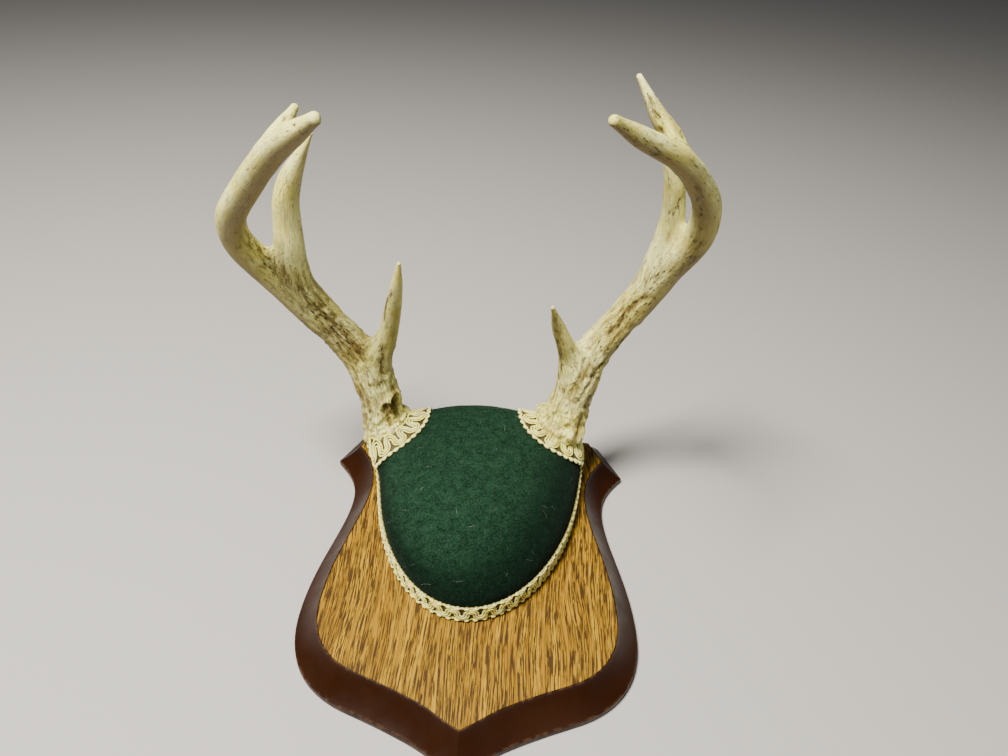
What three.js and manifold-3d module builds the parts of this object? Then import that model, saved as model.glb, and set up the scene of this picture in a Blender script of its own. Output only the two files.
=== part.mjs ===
// Eight-point white-tailed deer antlers on a shield-shaped oak plaque.
// Millimetres. The plaque lies on its back: Z = 0 is the back, +Z points away from the wall,
// +Y is the top of the plaque, and the origin is the middle of the back. Left (-X) and right (+X)
// are those of a viewer who faces the plaque with its top up.
import * as THREE from 'three';
import { mergeVertices } from 'three/addons/utils/BufferGeometryUtils.js';
import Module from 'manifold-3d';

const wasm = await Module();
wasm.setup();

// ---------------------------------------------------------------- driving dimensions
const GAP = 0.3; // clearance kept between neighbouring pieces
const CUT_MARGIN = 5; // how far a cutting solid runs past what it cuts
const ABOVE_ALL = 200; // a height above everything that a slab trims
const SLAB_SIZE = 400; // width of a trimming slab, wider than the plaque
const MERGE_TOLERANCE = 1e-4;

const BOARD_THICKNESS = 18; // back to oak face
const BOARD_EDGE_HEIGHT = 3.8; // square edge below the bevel
const RIM_WIDTH = 13.5; // painted bevel, measured in plan
const RIM_COVE = 0.7; // how far the bevel is hollowed
const FACE_DEPTH = 1.2; // thickness of the oak face panel

// Right half of the shield: its points, each with the reach of the curve before and after it.
const TIP = { at: [0, -130], in: [-17.7, 8.6], out: [17.7, 8.6] };
const FLANK = { at: [61.7, -99.3], in: [-52.2, -20], out: [20, 7.7] };
const BELLY = { at: [100, -41.2], in: [0, -34.9], out: [0, 38.8] };
const NECK = { at: [86.5, 55.2], in: [0, -28.2], out: [0, 20.6] };
const EAR = { at: [104, 95], in: [-6.2, -7.9], out: [-5.5, 11.8] };
const SHOULDER = { at: [87.5, 130], in: [5.5, -11.8], out: [-30, 0] };
const SHOULDER_ROUNDING = 6; // cut back on each side of the shoulder's corner
const OUTLINE_STEPS = 7; // straight pieces in each curve

// Felt-covered skull plate: an egg-shaped dome, long towards the tip of the shield.
// It stands on a short upright skirt.
const DOME = { x: 0.2, y: 84, front: 133, back: 28, half: 67.7, skirt: 13, rise: 34.3, lean: 3 };
const FELT_BOTTOM = BOARD_THICKNESS + GAP;
const DOME_SEGMENTS = 42;
const DOME_LEVELS = 10;
const BALL_DETAIL = 5; // how finely the balls that trim the collars are divided
// Where the felt swells over the foot of each antler: centre, direction, height and reach.
const SWELL_REACH = 19;
const SWELL_LEFT = { at: [-66, 78, 40], along: [-0.88, -0.1, 0.47], height: 12 };
const SWELL_RIGHT = { at: [62, 82, 44], along: [0.7, -0.1, 0.7], height: 4 };

// Braid glued round the foot of the dome and round each antler.
const BRAID_THICKNESS = 2.7;
const BRAID_HEIGHT = 12.6;
const ABOVE_FOOT_BRAID = FELT_BOTTOM + BRAID_HEIGHT + GAP;
const COLLAR_LEFT = { at: [-63, 84, 44], radius: 32.5 };
const COLLAR_RIGHT = { at: [50, 88, 50], radius: 30.5 };

// Antlers: each station is the middle of the bone and its radius, [x, y, z, r].
const BEAM_SIDES = 14;
const TINE_SIDES = 12;
const BURR_SIDES = 26;
const BEAM_STEPS = 12; // rings along each of the beam's two long pieces
const END_STEPS = 5; // along the beam's tip
const BURR_STEPS = 8;
const TINE_STEPS = 10;

const LEFT = {
  beam: [
    [-58, 84, 36, 12.5],
    [-66, 84, 47, 14.6],
    [-69, 86, 57, 13.8],
    [-72, 88, 77, 13.4],
    [-85, 91, 104, 11.8],
    [-102, 91, 125, 10.8],
    [-130, 83, 160, 9.8],
    [-144, 70, 187, 8.8],
    [-142.3, 58, 207, 8.1],
    [-125, 40, 233, 7.6],
    [-103, 20, 260, 6.8],
    [-88, 5, 273.5, 5.4],
    [-75, -8, 284.5, 3.1],
  ],
  brow: [
    [-75, 89, 86, 9],
    [-71.5, 88, 102, 9.6],
    [-67, 85.5, 115, 7.8],
    [-62.5, 82, 127.5, 6],
    [-58.6, 77, 147, 5.2],
    [-55, 71, 167, 3.6],
    [-52.6, 66, 183, 1.3],
  ],
  second: [
    [-107, 90, 132, 8.5],
    [-117, 86, 153, 9.6],
    [-119.5, 82, 171, 9.7],
    [-118.8, 80, 184, 8.8],
    [-118.3, 79, 198, 8],
    [-117, 77, 212, 7.4],
    [-113, 75, 225, 6.5],
    [-106, 72, 238.5, 3.9],
    [-97, 68, 253.5, 0.9],
  ],
  third: [
    [-110, 27, 252, 5.5],
    [-104, 26, 262, 5.4],
    [-99, 28, 269.5, 4],
    [-94, 31, 277, 2],
  ],
  forks: [0.6, 0.88],
};

const RIGHT = {
  beam: [
    [44, 86, 46, 13.5],
    [51.5, 86, 56, 15.4],
    [55.5, 87, 66, 14.3],
    [59, 88, 82, 12.8],
    [69, 91, 116, 11],
    [87, 91, 147, 9.5],
    [104, 83, 182, 9.2],
    [114, 70, 209, 8.5],
    [112, 58, 232, 7.7],
    [99, 40, 253, 6.7],
    [83.5, 20, 269.5, 5.9],
    [63, 5, 282, 4.9],
    [48.5, -8, 292, 2.6],
  ],
  brow: [
    [60, 89, 92, 9],
    [56.5, 88, 104, 9.2],
    [53, 86, 116, 7.2],
    [48.8, 82, 127, 5.5],
    [43, 77, 142, 4.1],
    [37.6, 66, 161, 1.3],
  ],
  second: [
    [89, 90, 150, 7],
    [96.5, 87.5, 170, 8.6],
    [98.5, 85.5, 185, 8.4],
    [99.8, 82.5, 200.5, 7.5],
    [100.2, 79, 216, 6.7],
    [97, 75, 235, 5.8],
    [92, 72, 251, 4.2],
    [86, 68, 269, 0.9],
  ],
  third: [
    [88, 25, 264.5, 4],
    [81.5, 26, 275, 5],
    [72.5, 28, 286, 3.9],
    [62, 31, 301, 1.5],
  ],
  forks: [0.62, 0.88],
};
const BURR_END = 0.18; // share of the beam's stations taken by the pedicle and the burr
const BURR_PEARLS = 13; // lumps round a burr
const PEARL_HEIGHT = 0.9;
const PEARL_SPREAD = 0.22; // how far the pearls reach along the burr, as a share of its length
const ROUND_END = 0.7; // how far a tip's rounding runs on, in tip radii

// ---------------------------------------------------------------- materials
const paint = new THREE.MeshStandardMaterial({ color: 0x3a1d13, roughness: 0.4 });
const oak = new THREE.MeshStandardMaterial({ color: 0xb07a35, roughness: 0.5 });
const felt = new THREE.MeshStandardMaterial({ color: 0x1d4633, roughness: 0.95 });
const gimp = new THREE.MeshStandardMaterial({ color: 0xe3d8ae, roughness: 0.8 });
const bone = new THREE.MeshStandardMaterial({ color: 0xcdbf94, roughness: 0.6 });

// ---------------------------------------------------------------- mesh and solid helpers
function geometryOf(points, triangles) {
  const geometry = new THREE.BufferGeometry();
  const flat = new Float32Array(points.flatMap((p) => [p.x, p.y, p.z]));
  geometry.setAttribute('position', new THREE.BufferAttribute(flat, 3));
  geometry.setIndex(triangles.flat());
  geometry.computeVertexNormals();
  return geometry;
}

function solidOf(geometry) {
  const vertProperties = Float32Array.from(geometry.attributes.position.array);
  const triVerts = Uint32Array.from(geometry.index.array);
  return new wasm.Manifold(new wasm.Mesh({ numProp: 3, vertProperties, triVerts }));
}

function meshOf(name, solid, material) {
  const { numProp, vertProperties, triVerts } = solid.getMesh();
  const geometry = new THREE.BufferGeometry();
  const count = vertProperties.length / numProp;
  const positions = new Float32Array(count * 3);
  for (let i = 0; i < count; i += 1) {
    positions.set(vertProperties.subarray(i * numProp, i * numProp + 3), i * 3);
  }
  geometry.setAttribute('position', new THREE.BufferAttribute(positions, 3));
  geometry.setIndex(new THREE.BufferAttribute(new Uint32Array(triVerts), 1));
  geometry.computeVertexNormals();
  const mesh = new THREE.Mesh(geometry, material);
  mesh.name = name;
  return mesh;
}

// Closed surface through rings of equal length. Each end is closed by a list of triangles
// between its ring's points, or by a single point.
function skin(rings, start, end) {
  const count = rings[0].length;
  const points = rings.flat();
  const triangles = [];
  for (let k = 0; k + 1 < rings.length; k += 1) {
    for (let i = 0; i < count; i += 1) {
      const a = k * count + i;
      const b = k * count + ((i + 1) % count);
      triangles.push([a, b, b + count], [a, b + count, a + count]);
    }
  }
  start.forEach(([a, b, c]) => triangles.push([a, c, b]));
  const last = (rings.length - 1) * count;
  if (end.isVector3) {
    points.push(end);
    for (let i = 0; i < count; i += 1) {
      triangles.push([last + i, last + ((i + 1) % count), points.length - 1]);
    }
  } else {
    end.forEach(([a, b, c]) => triangles.push([a + last, b + last, c + last]));
  }
  return solidOf(geometryOf(points, triangles));
}

const fan = (count) => Array.from({ length: count - 2 }, (_, i) => [0, i + 1, i + 2]);

const vector = ([x, y, z]) => new THREE.Vector3(x, y, z);

// ---------------------------------------------------------------- plaque
// A point of the outline moved inwards by a distance, on its mitre line.
function movedIn(stop, distance) {
  const arrive = new THREE.Vector2(...stop.in).negate().normalize();
  const leave = new THREE.Vector2(...stop.out).normalize();
  const inward = new THREE.Vector2(-arrive.y - leave.y, arrive.x + leave.x);
  inward.multiplyScalar(distance / (1 + arrive.dot(leave)));
  return new THREE.Vector2(...stop.at).add(inward);
}

// The shield's outline, drawn inside its edge by a distance and anticlockwise from the tip.
function shield(distance) {
  const stops = [TIP, FLANK, BELLY, NECK, EAR];
  const places = stops.map((stop) => movedIn(stop, distance));
  const path = new THREE.Path();
  path.moveTo(places[0].x, places[0].y);
  for (let k = 1; k < stops.length; k += 1) {
    const [from, to] = [places[k - 1], places[k]];
    const chord = Math.hypot(stops[k].at[0] - stops[k - 1].at[0], stops[k].at[1] - stops[k - 1].at[1]);
    const scale = from.distanceTo(to) / chord;
    const leave = stops[k - 1].out.map((v) => v * scale);
    const arrive = stops[k].in.map((v) => v * scale);
    path.bezierCurveTo(
      from.x + leave[0], from.y + leave[1], to.x + arrive[0], to.y + arrive[1], to.x, to.y,
    );
  }
  const corner = movedIn(SHOULDER, distance);
  const rounding = SHOULDER_ROUNDING * (1 - distance / (RIM_WIDTH + 4 * GAP));
  const below = new THREE.Vector2(...SHOULDER.in).setLength(rounding).add(corner);
  path.lineTo(below.x, below.y);
  path.quadraticCurveTo(corner.x, corner.y, corner.x - rounding, corner.y);
  const right = path.getPoints(OUTLINE_STEPS);
  const left = right.slice(1).reverse().map((p) => new THREE.Vector2(-p.x, p.y));
  return [...right, ...left];
}

// Solid through a stack of shields, each [inset distance, height].
function stack(levels) {
  const cap = THREE.ShapeUtils.triangulateShape(shield(0), []);
  const rings = levels.map(([distance, z]) => (
    shield(distance).map((p) => new THREE.Vector3(p.x, p.y, z))
  ));
  return skin(rings, cap, cap);
}

function boardBody() {
  const rise = BOARD_THICKNESS - BOARD_EDGE_HEIGHT;
  const bevel = [0.33, 0.67].map((t) => {
    const hollow = 4 * t * (1 - t) * RIM_COVE;
    return [t * RIM_WIDTH + hollow, BOARD_EDGE_HEIGHT + t * rise - hollow];
  });
  const blank = stack([[0, 0], [0, BOARD_EDGE_HEIGHT], ...bevel, [RIM_WIDTH, BOARD_THICKNESS]]);
  const edge = RIM_WIDTH + GAP;
  const floor = BOARD_THICKNESS - FACE_DEPTH - GAP;
  return blank.subtract(stack([[edge, floor], [edge, BOARD_THICKNESS + CUT_MARGIN]]));
}

function boardFace() {
  const edge = RIM_WIDTH + 2 * GAP;
  return stack([[edge, BOARD_THICKNESS - FACE_DEPTH], [edge, BOARD_THICKNESS]]);
}

// ---------------------------------------------------------------- felt dome and braid
// A point of the dome's surface moved outwards by `grow`. `turn` runs round the foot, from +X
// through +Y, and `lift` climbs from the skirt's top (0) to the crown (a quarter turn). A
// negative `lift` is on the upright skirt, as a share of its height down from its top.
function domePoint(turn, lift, grow) {
  const reach = Math.sin(turn) < 0 ? DOME.front : DOME.back;
  const shrink = Math.cos(Math.max(lift, 0));
  const x = (DOME.half + grow) * Math.cos(turn) * shrink;
  const y = (reach + grow) * Math.sin(turn) * shrink;
  const cap = (DOME.rise + grow) * Math.sin(Math.max(lift, 0));
  const z = DOME.skirt * (1 + Math.min(lift, 0)) + cap;
  const lean = DOME.lean * Math.min(y / DOME.front, 0) ** 2;
  const point = new THREE.Vector3(DOME.x + x - lean, DOME.y + y, FELT_BOTTOM + z);
  [SWELL_LEFT, SWELL_RIGHT].forEach(({ at, along, height }) => {
    const away = point.distanceTo(vector(at)) / SWELL_REACH;
    const rooted = Math.min(z / DOME.skirt, 1);
    point.addScaledVector(vector(along), rooted * height * Math.exp(-away * away));
  });
  return point;
}

// The whole dome grown by `grow`, with its flat bottom `drop` lower.
function dome(grow, drop) {
  const level = (lift) => Array.from({ length: DOME_SEGMENTS }, (_, i) => (
    domePoint((i / DOME_SEGMENTS) * Math.PI * 2, lift, grow)
  ));
  const cap = (k) => level((k / DOME_LEVELS) * (Math.PI / 2));
  const foot = level(-1).map((p) => p.setZ(FELT_BOTTOM - drop));
  const rings = [foot, level(-0.5), ...Array.from({ length: DOME_LEVELS }, (_, k) => cap(k))];
  return skin(rings, fan(DOME_SEGMENTS), domePoint(0, Math.PI / 2, grow));
}

function ball({ at, radius }, grow = 0) {
  const geometry = new THREE.IcosahedronGeometry(radius + grow, BALL_DETAIL);
  geometry.deleteAttribute('normal');
  geometry.deleteAttribute('uv');
  geometry.translate(...at);
  return solidOf(mergeVertices(geometry, MERGE_TOLERANCE));
}

function slab(bottom, top) {
  const geometry = new THREE.BoxGeometry(SLAB_SIZE, SLAB_SIZE, top - bottom);
  geometry.deleteAttribute('normal');
  geometry.deleteAttribute('uv');
  geometry.translate(0, 0, (top + bottom) / 2);
  return solidOf(mergeVertices(geometry, MERGE_TOLERANCE));
}

// The layer of braid over the felt, before it is cut to strips.
function braidLayer() {
  const wide = dome(GAP + BRAID_THICKNESS, 0);
  return wide.subtract(dome(GAP, CUT_MARGIN));
}

// ---------------------------------------------------------------- antlers
// Smooth line through stations, as [centre, radius] at an even share `t` of its stations.
function boneLine(stations) {
  const line = new THREE.CatmullRomCurve3(stations.map(vector));
  const widths = stations.map(([, , , r], i) => new THREE.Vector2(i, r));
  const widthLine = new THREE.SplineCurve(widths);
  return {
    at: (t) => line.getPoint(t),
    along: (t) => line.getTangent(t),
    radius: (t) => widthLine.getPoint(t).y,
    speed: (t) => line.getPoint(Math.min(t + 1e-3, 1)).distanceTo(line.getPoint(t)) / 1e-3,
  };
}

// Rings of bone square to the line from share `from` to share `to`.
function boneRings(line, from, to, steps, sides, grow, bump = () => 0) {
  const side = new THREE.Vector3(1, 0, 0);
  return Array.from({ length: steps + 1 }, (_, k) => {
    const t = from + ((to - from) * k) / steps;
    const along = line.along(t);
    side.addScaledVector(along, -side.dot(along)).normalize();
    const up = new THREE.Vector3().crossVectors(along, side);
    return Array.from({ length: sides }, (__, i) => {
      const turn = (i / sides) * Math.PI * 2;
      const radius = line.radius(t) + grow + bump(t, turn);
      return line.at(t)
        .addScaledVector(side, radius * Math.cos(turn))
        .addScaledVector(up, radius * Math.sin(turn));
    });
  });
}

// A length of bone, either cut square at its far end or rounded off past it.
function boneLength(line, from, to, steps, sides, { grow = 0, rounded = false, bump } = {}) {
  const rings = boneRings(line, from, to, steps, sides, grow, bump);
  if (!rounded) {
    return skin(rings, fan(sides), fan(sides));
  }
  const tip = line.at(1).addScaledVector(line.along(1), line.radius(1) * ROUND_END + grow);
  return skin(rings, fan(sides), tip);
}

function pearls(t, turn) {
  const share = t / BURR_END;
  const ring = Math.exp(-(((share - 0.5) / PEARL_SPREAD) ** 2));
  return PEARL_HEIGHT * ring * (1 + Math.cos(BURR_PEARLS * turn));
}

function antler(side, stations) {
  const beam = boneLine(stations.beam);
  const [secondFork, thirdFork] = stations.forks;
  const stop = (t) => t - GAP / beam.speed(t);
  const cut = (from, to, grow) => boneLength(beam, from, to, BEAM_STEPS, BEAM_SIDES, { grow });
  const end = (grow) => boneLength(beam, thirdFork, 1, END_STEPS, BEAM_SIDES, { grow, rounded: true });
  const lengths = {
    burr: boneLength(beam, 0, stop(BURR_END), BURR_STEPS, BURR_SIDES, { bump: pearls }),
    beam_lower: cut(BURR_END, stop(secondFork), 0),
    beam_upper: cut(secondFork, stop(thirdFork), 0),
    beam_tip: end(0),
  };
  lengths.burr = lengths.burr
    .subtract(dome(GAP, CUT_MARGIN))
    .intersect(slab(ABOVE_FOOT_BRAID, ABOVE_ALL));
  const room = 2 * GAP;
  const clearance = cut(BURR_END, secondFork, room).add(cut(secondFork, thirdFork, room)).add(end(room));
  ['brow', 'second', 'third'].forEach((name) => {
    const line = boneLine(stations[name]);
    const tine = boneLength(line, 0, 1, TINE_STEPS, TINE_SIDES, { rounded: true });
    lengths[`${name}_tine`] = tine.subtract(clearance);
  });
  return Object.entries(lengths).map(([name, solid]) => meshOf(`${side}_${name}`, solid, bone));
}

function collar(place, stations) {
  const beam = boneLine(stations.beam);
  const grow = GAP + 2 * PEARL_HEIGHT;
  const opening = boneLength(beam, 0, 2 * BURR_END, BURR_STEPS, BURR_SIDES, { grow });
  const strip = braidLayer().intersect(ball(place)).intersect(slab(ABOVE_FOOT_BRAID, ABOVE_ALL));
  return strip.subtract(opening);
}

// ---------------------------------------------------------------- the whole mount
const mount = new THREE.Group();
mount.add(
  meshOf('plaque_body', boardBody(), paint),
  meshOf('plaque_face', boardFace(), oak),
  meshOf('felt_cover', dome(0, 0), felt),
  meshOf('braid_foot', braidLayer().intersect(slab(FELT_BOTTOM, FELT_BOTTOM + BRAID_HEIGHT)), gimp),
  meshOf('braid_collar_left', collar(COLLAR_LEFT, LEFT), gimp),
  meshOf('braid_collar_right', collar(COLLAR_RIGHT, RIGHT), gimp),
  ...antler('left', LEFT),
  ...antler('right', RIGHT),
);

export default mount;
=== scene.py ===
"""Eight-point white-tailed deer antlers on a felt-covered skull plate and an oak shield plaque.

Every length in this file is in millimetres until a mesh is made, which is in metres. The
plaque lies on its back: Z = 0 is its back, +Y its top, and left (-X) and right (+X) are those
of a viewer who faces it with its top up.
"""
import enum
import logging
import math
from dataclasses import dataclass, field
from typing import Iterable, Sequence, Union

import bpy
import numpy as np
from mathutils import Matrix, Vector


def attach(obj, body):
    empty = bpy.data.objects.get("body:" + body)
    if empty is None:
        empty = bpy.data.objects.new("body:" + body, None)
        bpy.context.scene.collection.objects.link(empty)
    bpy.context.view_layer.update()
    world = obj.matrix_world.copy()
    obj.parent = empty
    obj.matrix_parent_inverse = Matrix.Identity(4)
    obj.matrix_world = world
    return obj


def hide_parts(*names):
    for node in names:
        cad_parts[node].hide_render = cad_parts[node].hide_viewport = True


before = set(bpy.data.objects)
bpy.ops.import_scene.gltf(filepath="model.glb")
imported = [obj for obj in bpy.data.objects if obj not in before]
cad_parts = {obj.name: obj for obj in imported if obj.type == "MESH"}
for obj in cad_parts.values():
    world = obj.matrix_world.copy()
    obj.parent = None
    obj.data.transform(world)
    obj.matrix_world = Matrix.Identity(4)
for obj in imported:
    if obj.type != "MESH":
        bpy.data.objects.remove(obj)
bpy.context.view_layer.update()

Array = np.ndarray
Colour = tuple[float, float, float, float]
Triple = tuple[float, float, float]
Socket = bpy.types.NodeSocket
Node = bpy.types.Node
NodeTree = bpy.types.NodeTree
Material = bpy.types.Material
Piece = bpy.types.Object
Feed = Union[bpy.types.NodeSocket, float, Sequence[float]]

LOG = logging.getLogger("antler_mount")
MM = 0.001


# ------------------------------------------------------------------ shared number helpers
def unit(vectors: Array) -> Array:
    """Vectors over the last axis, each scaled to length one."""
    return vectors / np.maximum(np.linalg.norm(vectors, axis=-1, keepdims=True), 1e-9)


def smoothstep(low: float, high: float, value: Array) -> Array:
    """Eases from 0 below `low` to 1 above `high` by the cubic 3t^2 - 2t^3."""
    t = np.clip((value - low) / (high - low), 0.0, 1.0)
    return t * t * (3.0 - 2.0 * t)


def bump_at(value: Array, centre: float, reach: float) -> Array:
    """Bell curve exp(-((value - centre) / reach)^2)."""
    return np.exp(-(((value - centre) / reach) ** 2))


def lattice_value(cell: Array, seed: int) -> Array:
    """Repeatable random number for each lattice cell, from its integers multiplied and mixed.

    Args:
        cell: Integer places, with a last axis of three.
        seed: Chooses the pattern.

    Returns:
        Values from -1 to 1.
    """
    mixed = cell[..., 0] * 73856093 ^ cell[..., 1] * 19349663 ^ cell[..., 2] * 83492791
    mixed = mixed ^ seed * 2654435
    mixed = (mixed ^ (mixed >> 13)) * 1274126177 & 0x7FFFFFFF
    mixed = (mixed ^ (mixed >> 16)) * 1103515245 & 0x7FFFFFFF
    return (mixed ^ (mixed >> 11)).astype(np.float64) % 65536.0 / 32767.5 - 1.0


def noise(points: Array, seed: int) -> Array:
    """Smooth value noise: lattice values blended trilinearly with eased weights.

    Args:
        points: Places (n, 3), with one lattice cell to the unit.
        seed: Chooses the pattern.

    Returns:
        Values (n,) from -1 to 1.
    """
    cell = np.floor(points).astype(np.int64)
    part = points - cell
    part = part * part * (3.0 - 2.0 * part)
    total = np.zeros(points.shape[:-1])
    for corner in np.ndindex(2, 2, 2):
        weight = np.prod(np.where(np.array(corner) == 1, part, 1.0 - part), axis=-1)
        total += weight * lattice_value(cell + np.array(corner), seed)
    return total


def layered_noise(points: Array, seed: int, layers: int = 3) -> Array:
    """Sum of noise layers, each twice as fine and half as strong as the one before."""
    return sum(noise(points * 2.0**k, seed + 17 * k) * 0.5**k for k in range(layers)) / 1.75


def smooth_line(stations: Array, shares: Array) -> Array:
    """Centripetal Catmull-Rom curve through stations.

    Each span is a cubic whose end slopes weigh the neighbouring chords by the square root of
    their lengths; past each end a mirrored station is added.

    Args:
        stations: Points (n, 3).
        shares: Places along the curve, from 0 to 1 with equal steps per station.

    Returns:
        Points (len(shares), 3).
    """
    padded = np.vstack([2 * stations[0] - stations[1], stations, 2 * stations[-1] - stations[-2]])
    place = np.clip(shares, 0, 1) * (len(stations) - 1)
    span = np.minimum(place.astype(int), len(stations) - 2)
    t = (place - span)[:, None]
    a, b, c, d = (padded[span + k] for k in range(4))
    ab, bc, cd = (
        np.sqrt(np.linalg.norm(q - p, axis=1))[:, None] for p, q in ((a, b), (b, c), (c, d))
    )
    leave = ((b - a) / ab - (c - a) / (ab + bc) + (c - b) / bc) * bc
    arrive = ((c - b) / bc - (d - b) / (bc + cd) + (d - c) / cd) * bc
    square = (3 * (c - b) - 2 * leave - arrive) * t**2
    return b + leave * t + square + (2 * (b - c) + leave + arrive) * t**3


def smooth_number(values: Array, shares: Array) -> Array:
    """Uniform Catmull-Rom curve through numbers.

    Each span is a cubic whose slope at an end is half the difference of that end's neighbours.

    Args:
        values: The numbers.
        shares: Places along the curve, from 0 to 1 with equal steps per number.

    Returns:
        The curve's values at those places.
    """
    padded = np.concatenate([values[:1], values, values[-1:]])
    place = np.clip(shares, 0, 1) * (len(values) - 1)
    span = np.minimum(place.astype(int), len(values) - 2)
    t = place - span
    a, b, c, d = (padded[span + k] for k in range(4))
    leave, arrive = (c - a) / 2, (d - b) / 2
    square = (3 * (c - b) - 2 * leave - arrive) * t**2
    return b + leave * t + square + (2 * (b - c) + leave + arrive) * t**3


# ------------------------------------------------------------------ shared mesh helpers
@dataclass
class Surface:
    """Points in millimetres with faces, and values on the points."""

    points: Array
    faces: Array
    values: dict[str, Array] = field(default_factory=dict)

    def joined(self, other: "Surface") -> "Surface":
        """This surface and another as one.

        Args:
            other: A surface that has at least this one's values.

        Returns:
            The new surface, with this one's values.
        """
        shared = {k: np.concatenate([v, other.values[k]]) for k, v in self.values.items()}
        faces = np.vstack([self.faces, other.faces + len(self.points)])
        return Surface(np.vstack([self.points, other.points]), faces, shared)


def grid_faces(rows: int, columns: int, wrap_rows: bool, wrap_columns: bool) -> Array:
    """Quads between the points of a grid that is stored row by row.

    Args:
        rows: How many rows of points.
        columns: How many points in a row.
        wrap_rows: Whether the last row meets the first.
        wrap_columns: Whether the last column meets the first.

    Returns:
        The quads' corners (n, 4).
    """
    row = np.arange(rows if wrap_rows else rows - 1)[:, None]
    column = np.arange(columns if wrap_columns else columns - 1)[None, :]
    next_row, next_column = (row + 1) % rows, (column + 1) % columns
    corners = [
        row * columns + column,
        row * columns + next_column,
        next_row * columns + next_column,
        next_row * columns + column,
    ]
    return np.stack(np.broadcast_arrays(*corners), -1).reshape(-1, 4)


def tubes(lines: Array, normals: Array, radii: Array, sides: int, closed: bool) -> Surface:
    """Round cords along lines: point + radius * (cos a * side + sin a * normal).

    Args:
        lines: Middle lines (cords, steps, 3).
        normals: A direction roughly square to each line, of the same shape.
        radii: Radius at each step (cords, steps).
        sides: Faces round each cord.
        closed: Whether each cord meets its own start. Open cords are drawn in to a point.

    Returns:
        The surface, with values `along` (millimetres along the cord), `around` (share of a turn)
        and `crest` (1 where the cord faces the direction in `normals`, -1 at its back).
    """
    cords, steps, _ = lines.shape
    ahead = np.roll(lines, -1, 1) - np.roll(lines, 1, 1)
    if not closed:
        ahead[:, 0], ahead[:, -1] = lines[:, 1] - lines[:, 0], lines[:, -1] - lines[:, -2]
        radii = radii.copy()
        radii[:, 0] = radii[:, -1] = 0.02
    ahead = unit(ahead)
    side = unit(np.cross(ahead, normals))
    over = np.cross(side, ahead)
    turn = np.arange(sides) / sides * 2 * np.pi
    offset = np.cos(turn)[:, None] * side[:, :, None] + np.sin(turn)[:, None] * over[:, :, None]
    points = lines[:, :, None] + radii[:, :, None, None] * offset
    one = grid_faces(steps, sides, closed, True)[:, ::-1]
    faces = (one[None] + (np.arange(cords) * steps * sides)[:, None, None]).reshape(-1, 4)
    length = np.cumsum(np.linalg.norm(np.diff(lines, axis=1, prepend=lines[:, :1]), axis=2), axis=1)
    values = {"along": length[:, :, None], "around": turn / (2 * np.pi), "crest": np.sin(turn)}
    values = {key: np.broadcast_to(value, points.shape[:3]).reshape(-1) for key, value in values.items()}
    return Surface(points.reshape(-1, 3), faces, values)


def linked(name: str, data: bpy.types.ID) -> Piece:
    """A new object in the scene.

    Args:
        name: Its name.
        data: The mesh, lamp or camera that it shows.

    Returns:
        The object.
    """
    made = bpy.data.objects.new(name, data)
    bpy.context.scene.collection.objects.link(made)
    return made


def make_piece(
    name: str,
    surface: Surface,
    material: Material,
    replaced: Sequence[str],
) -> Piece:
    """Puts a surface into the scene as a smoothly shaded piece of the mount.

    Args:
        name: Name of the piece.
        surface: Its points (millimetres), faces and values.
        material: Its finish.
        replaced: CAD nodes that it stands for.

    Returns:
        The new object, riding on the mount's one body.
    """
    mesh = bpy.data.meshes.new(name)
    count, corners = surface.faces.shape
    mesh.vertices.add(len(surface.points))
    mesh.vertices.foreach_set("co", (surface.points * MM).astype(np.float32).ravel())
    mesh.loops.add(surface.faces.size)
    mesh.loops.foreach_set("vertex_index", surface.faces.astype(np.int32).ravel())
    mesh.polygons.add(count)
    mesh.polygons.foreach_set("loop_start", np.arange(count, dtype=np.int32) * corners)
    mesh.polygons.foreach_set("use_smooth", np.full(count, True))
    mesh.update(calc_edges=True)
    mesh.validate()
    for key, value in surface.values.items():
        kind, entry = ("FLOAT_VECTOR", "vector") if value.ndim == 2 else ("FLOAT", "value")
        layer = mesh.attributes.new(key, kind, "POINT")
        layer.data.foreach_set(entry, value.astype(np.float32).ravel())
    mesh.materials.append(material)
    piece = linked(name, mesh)
    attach(piece, "root")
    if replaced:
        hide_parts(*replaced)
    LOG.info("%s: %d points, %d faces", name, len(surface.points), count)
    return piece


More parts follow.
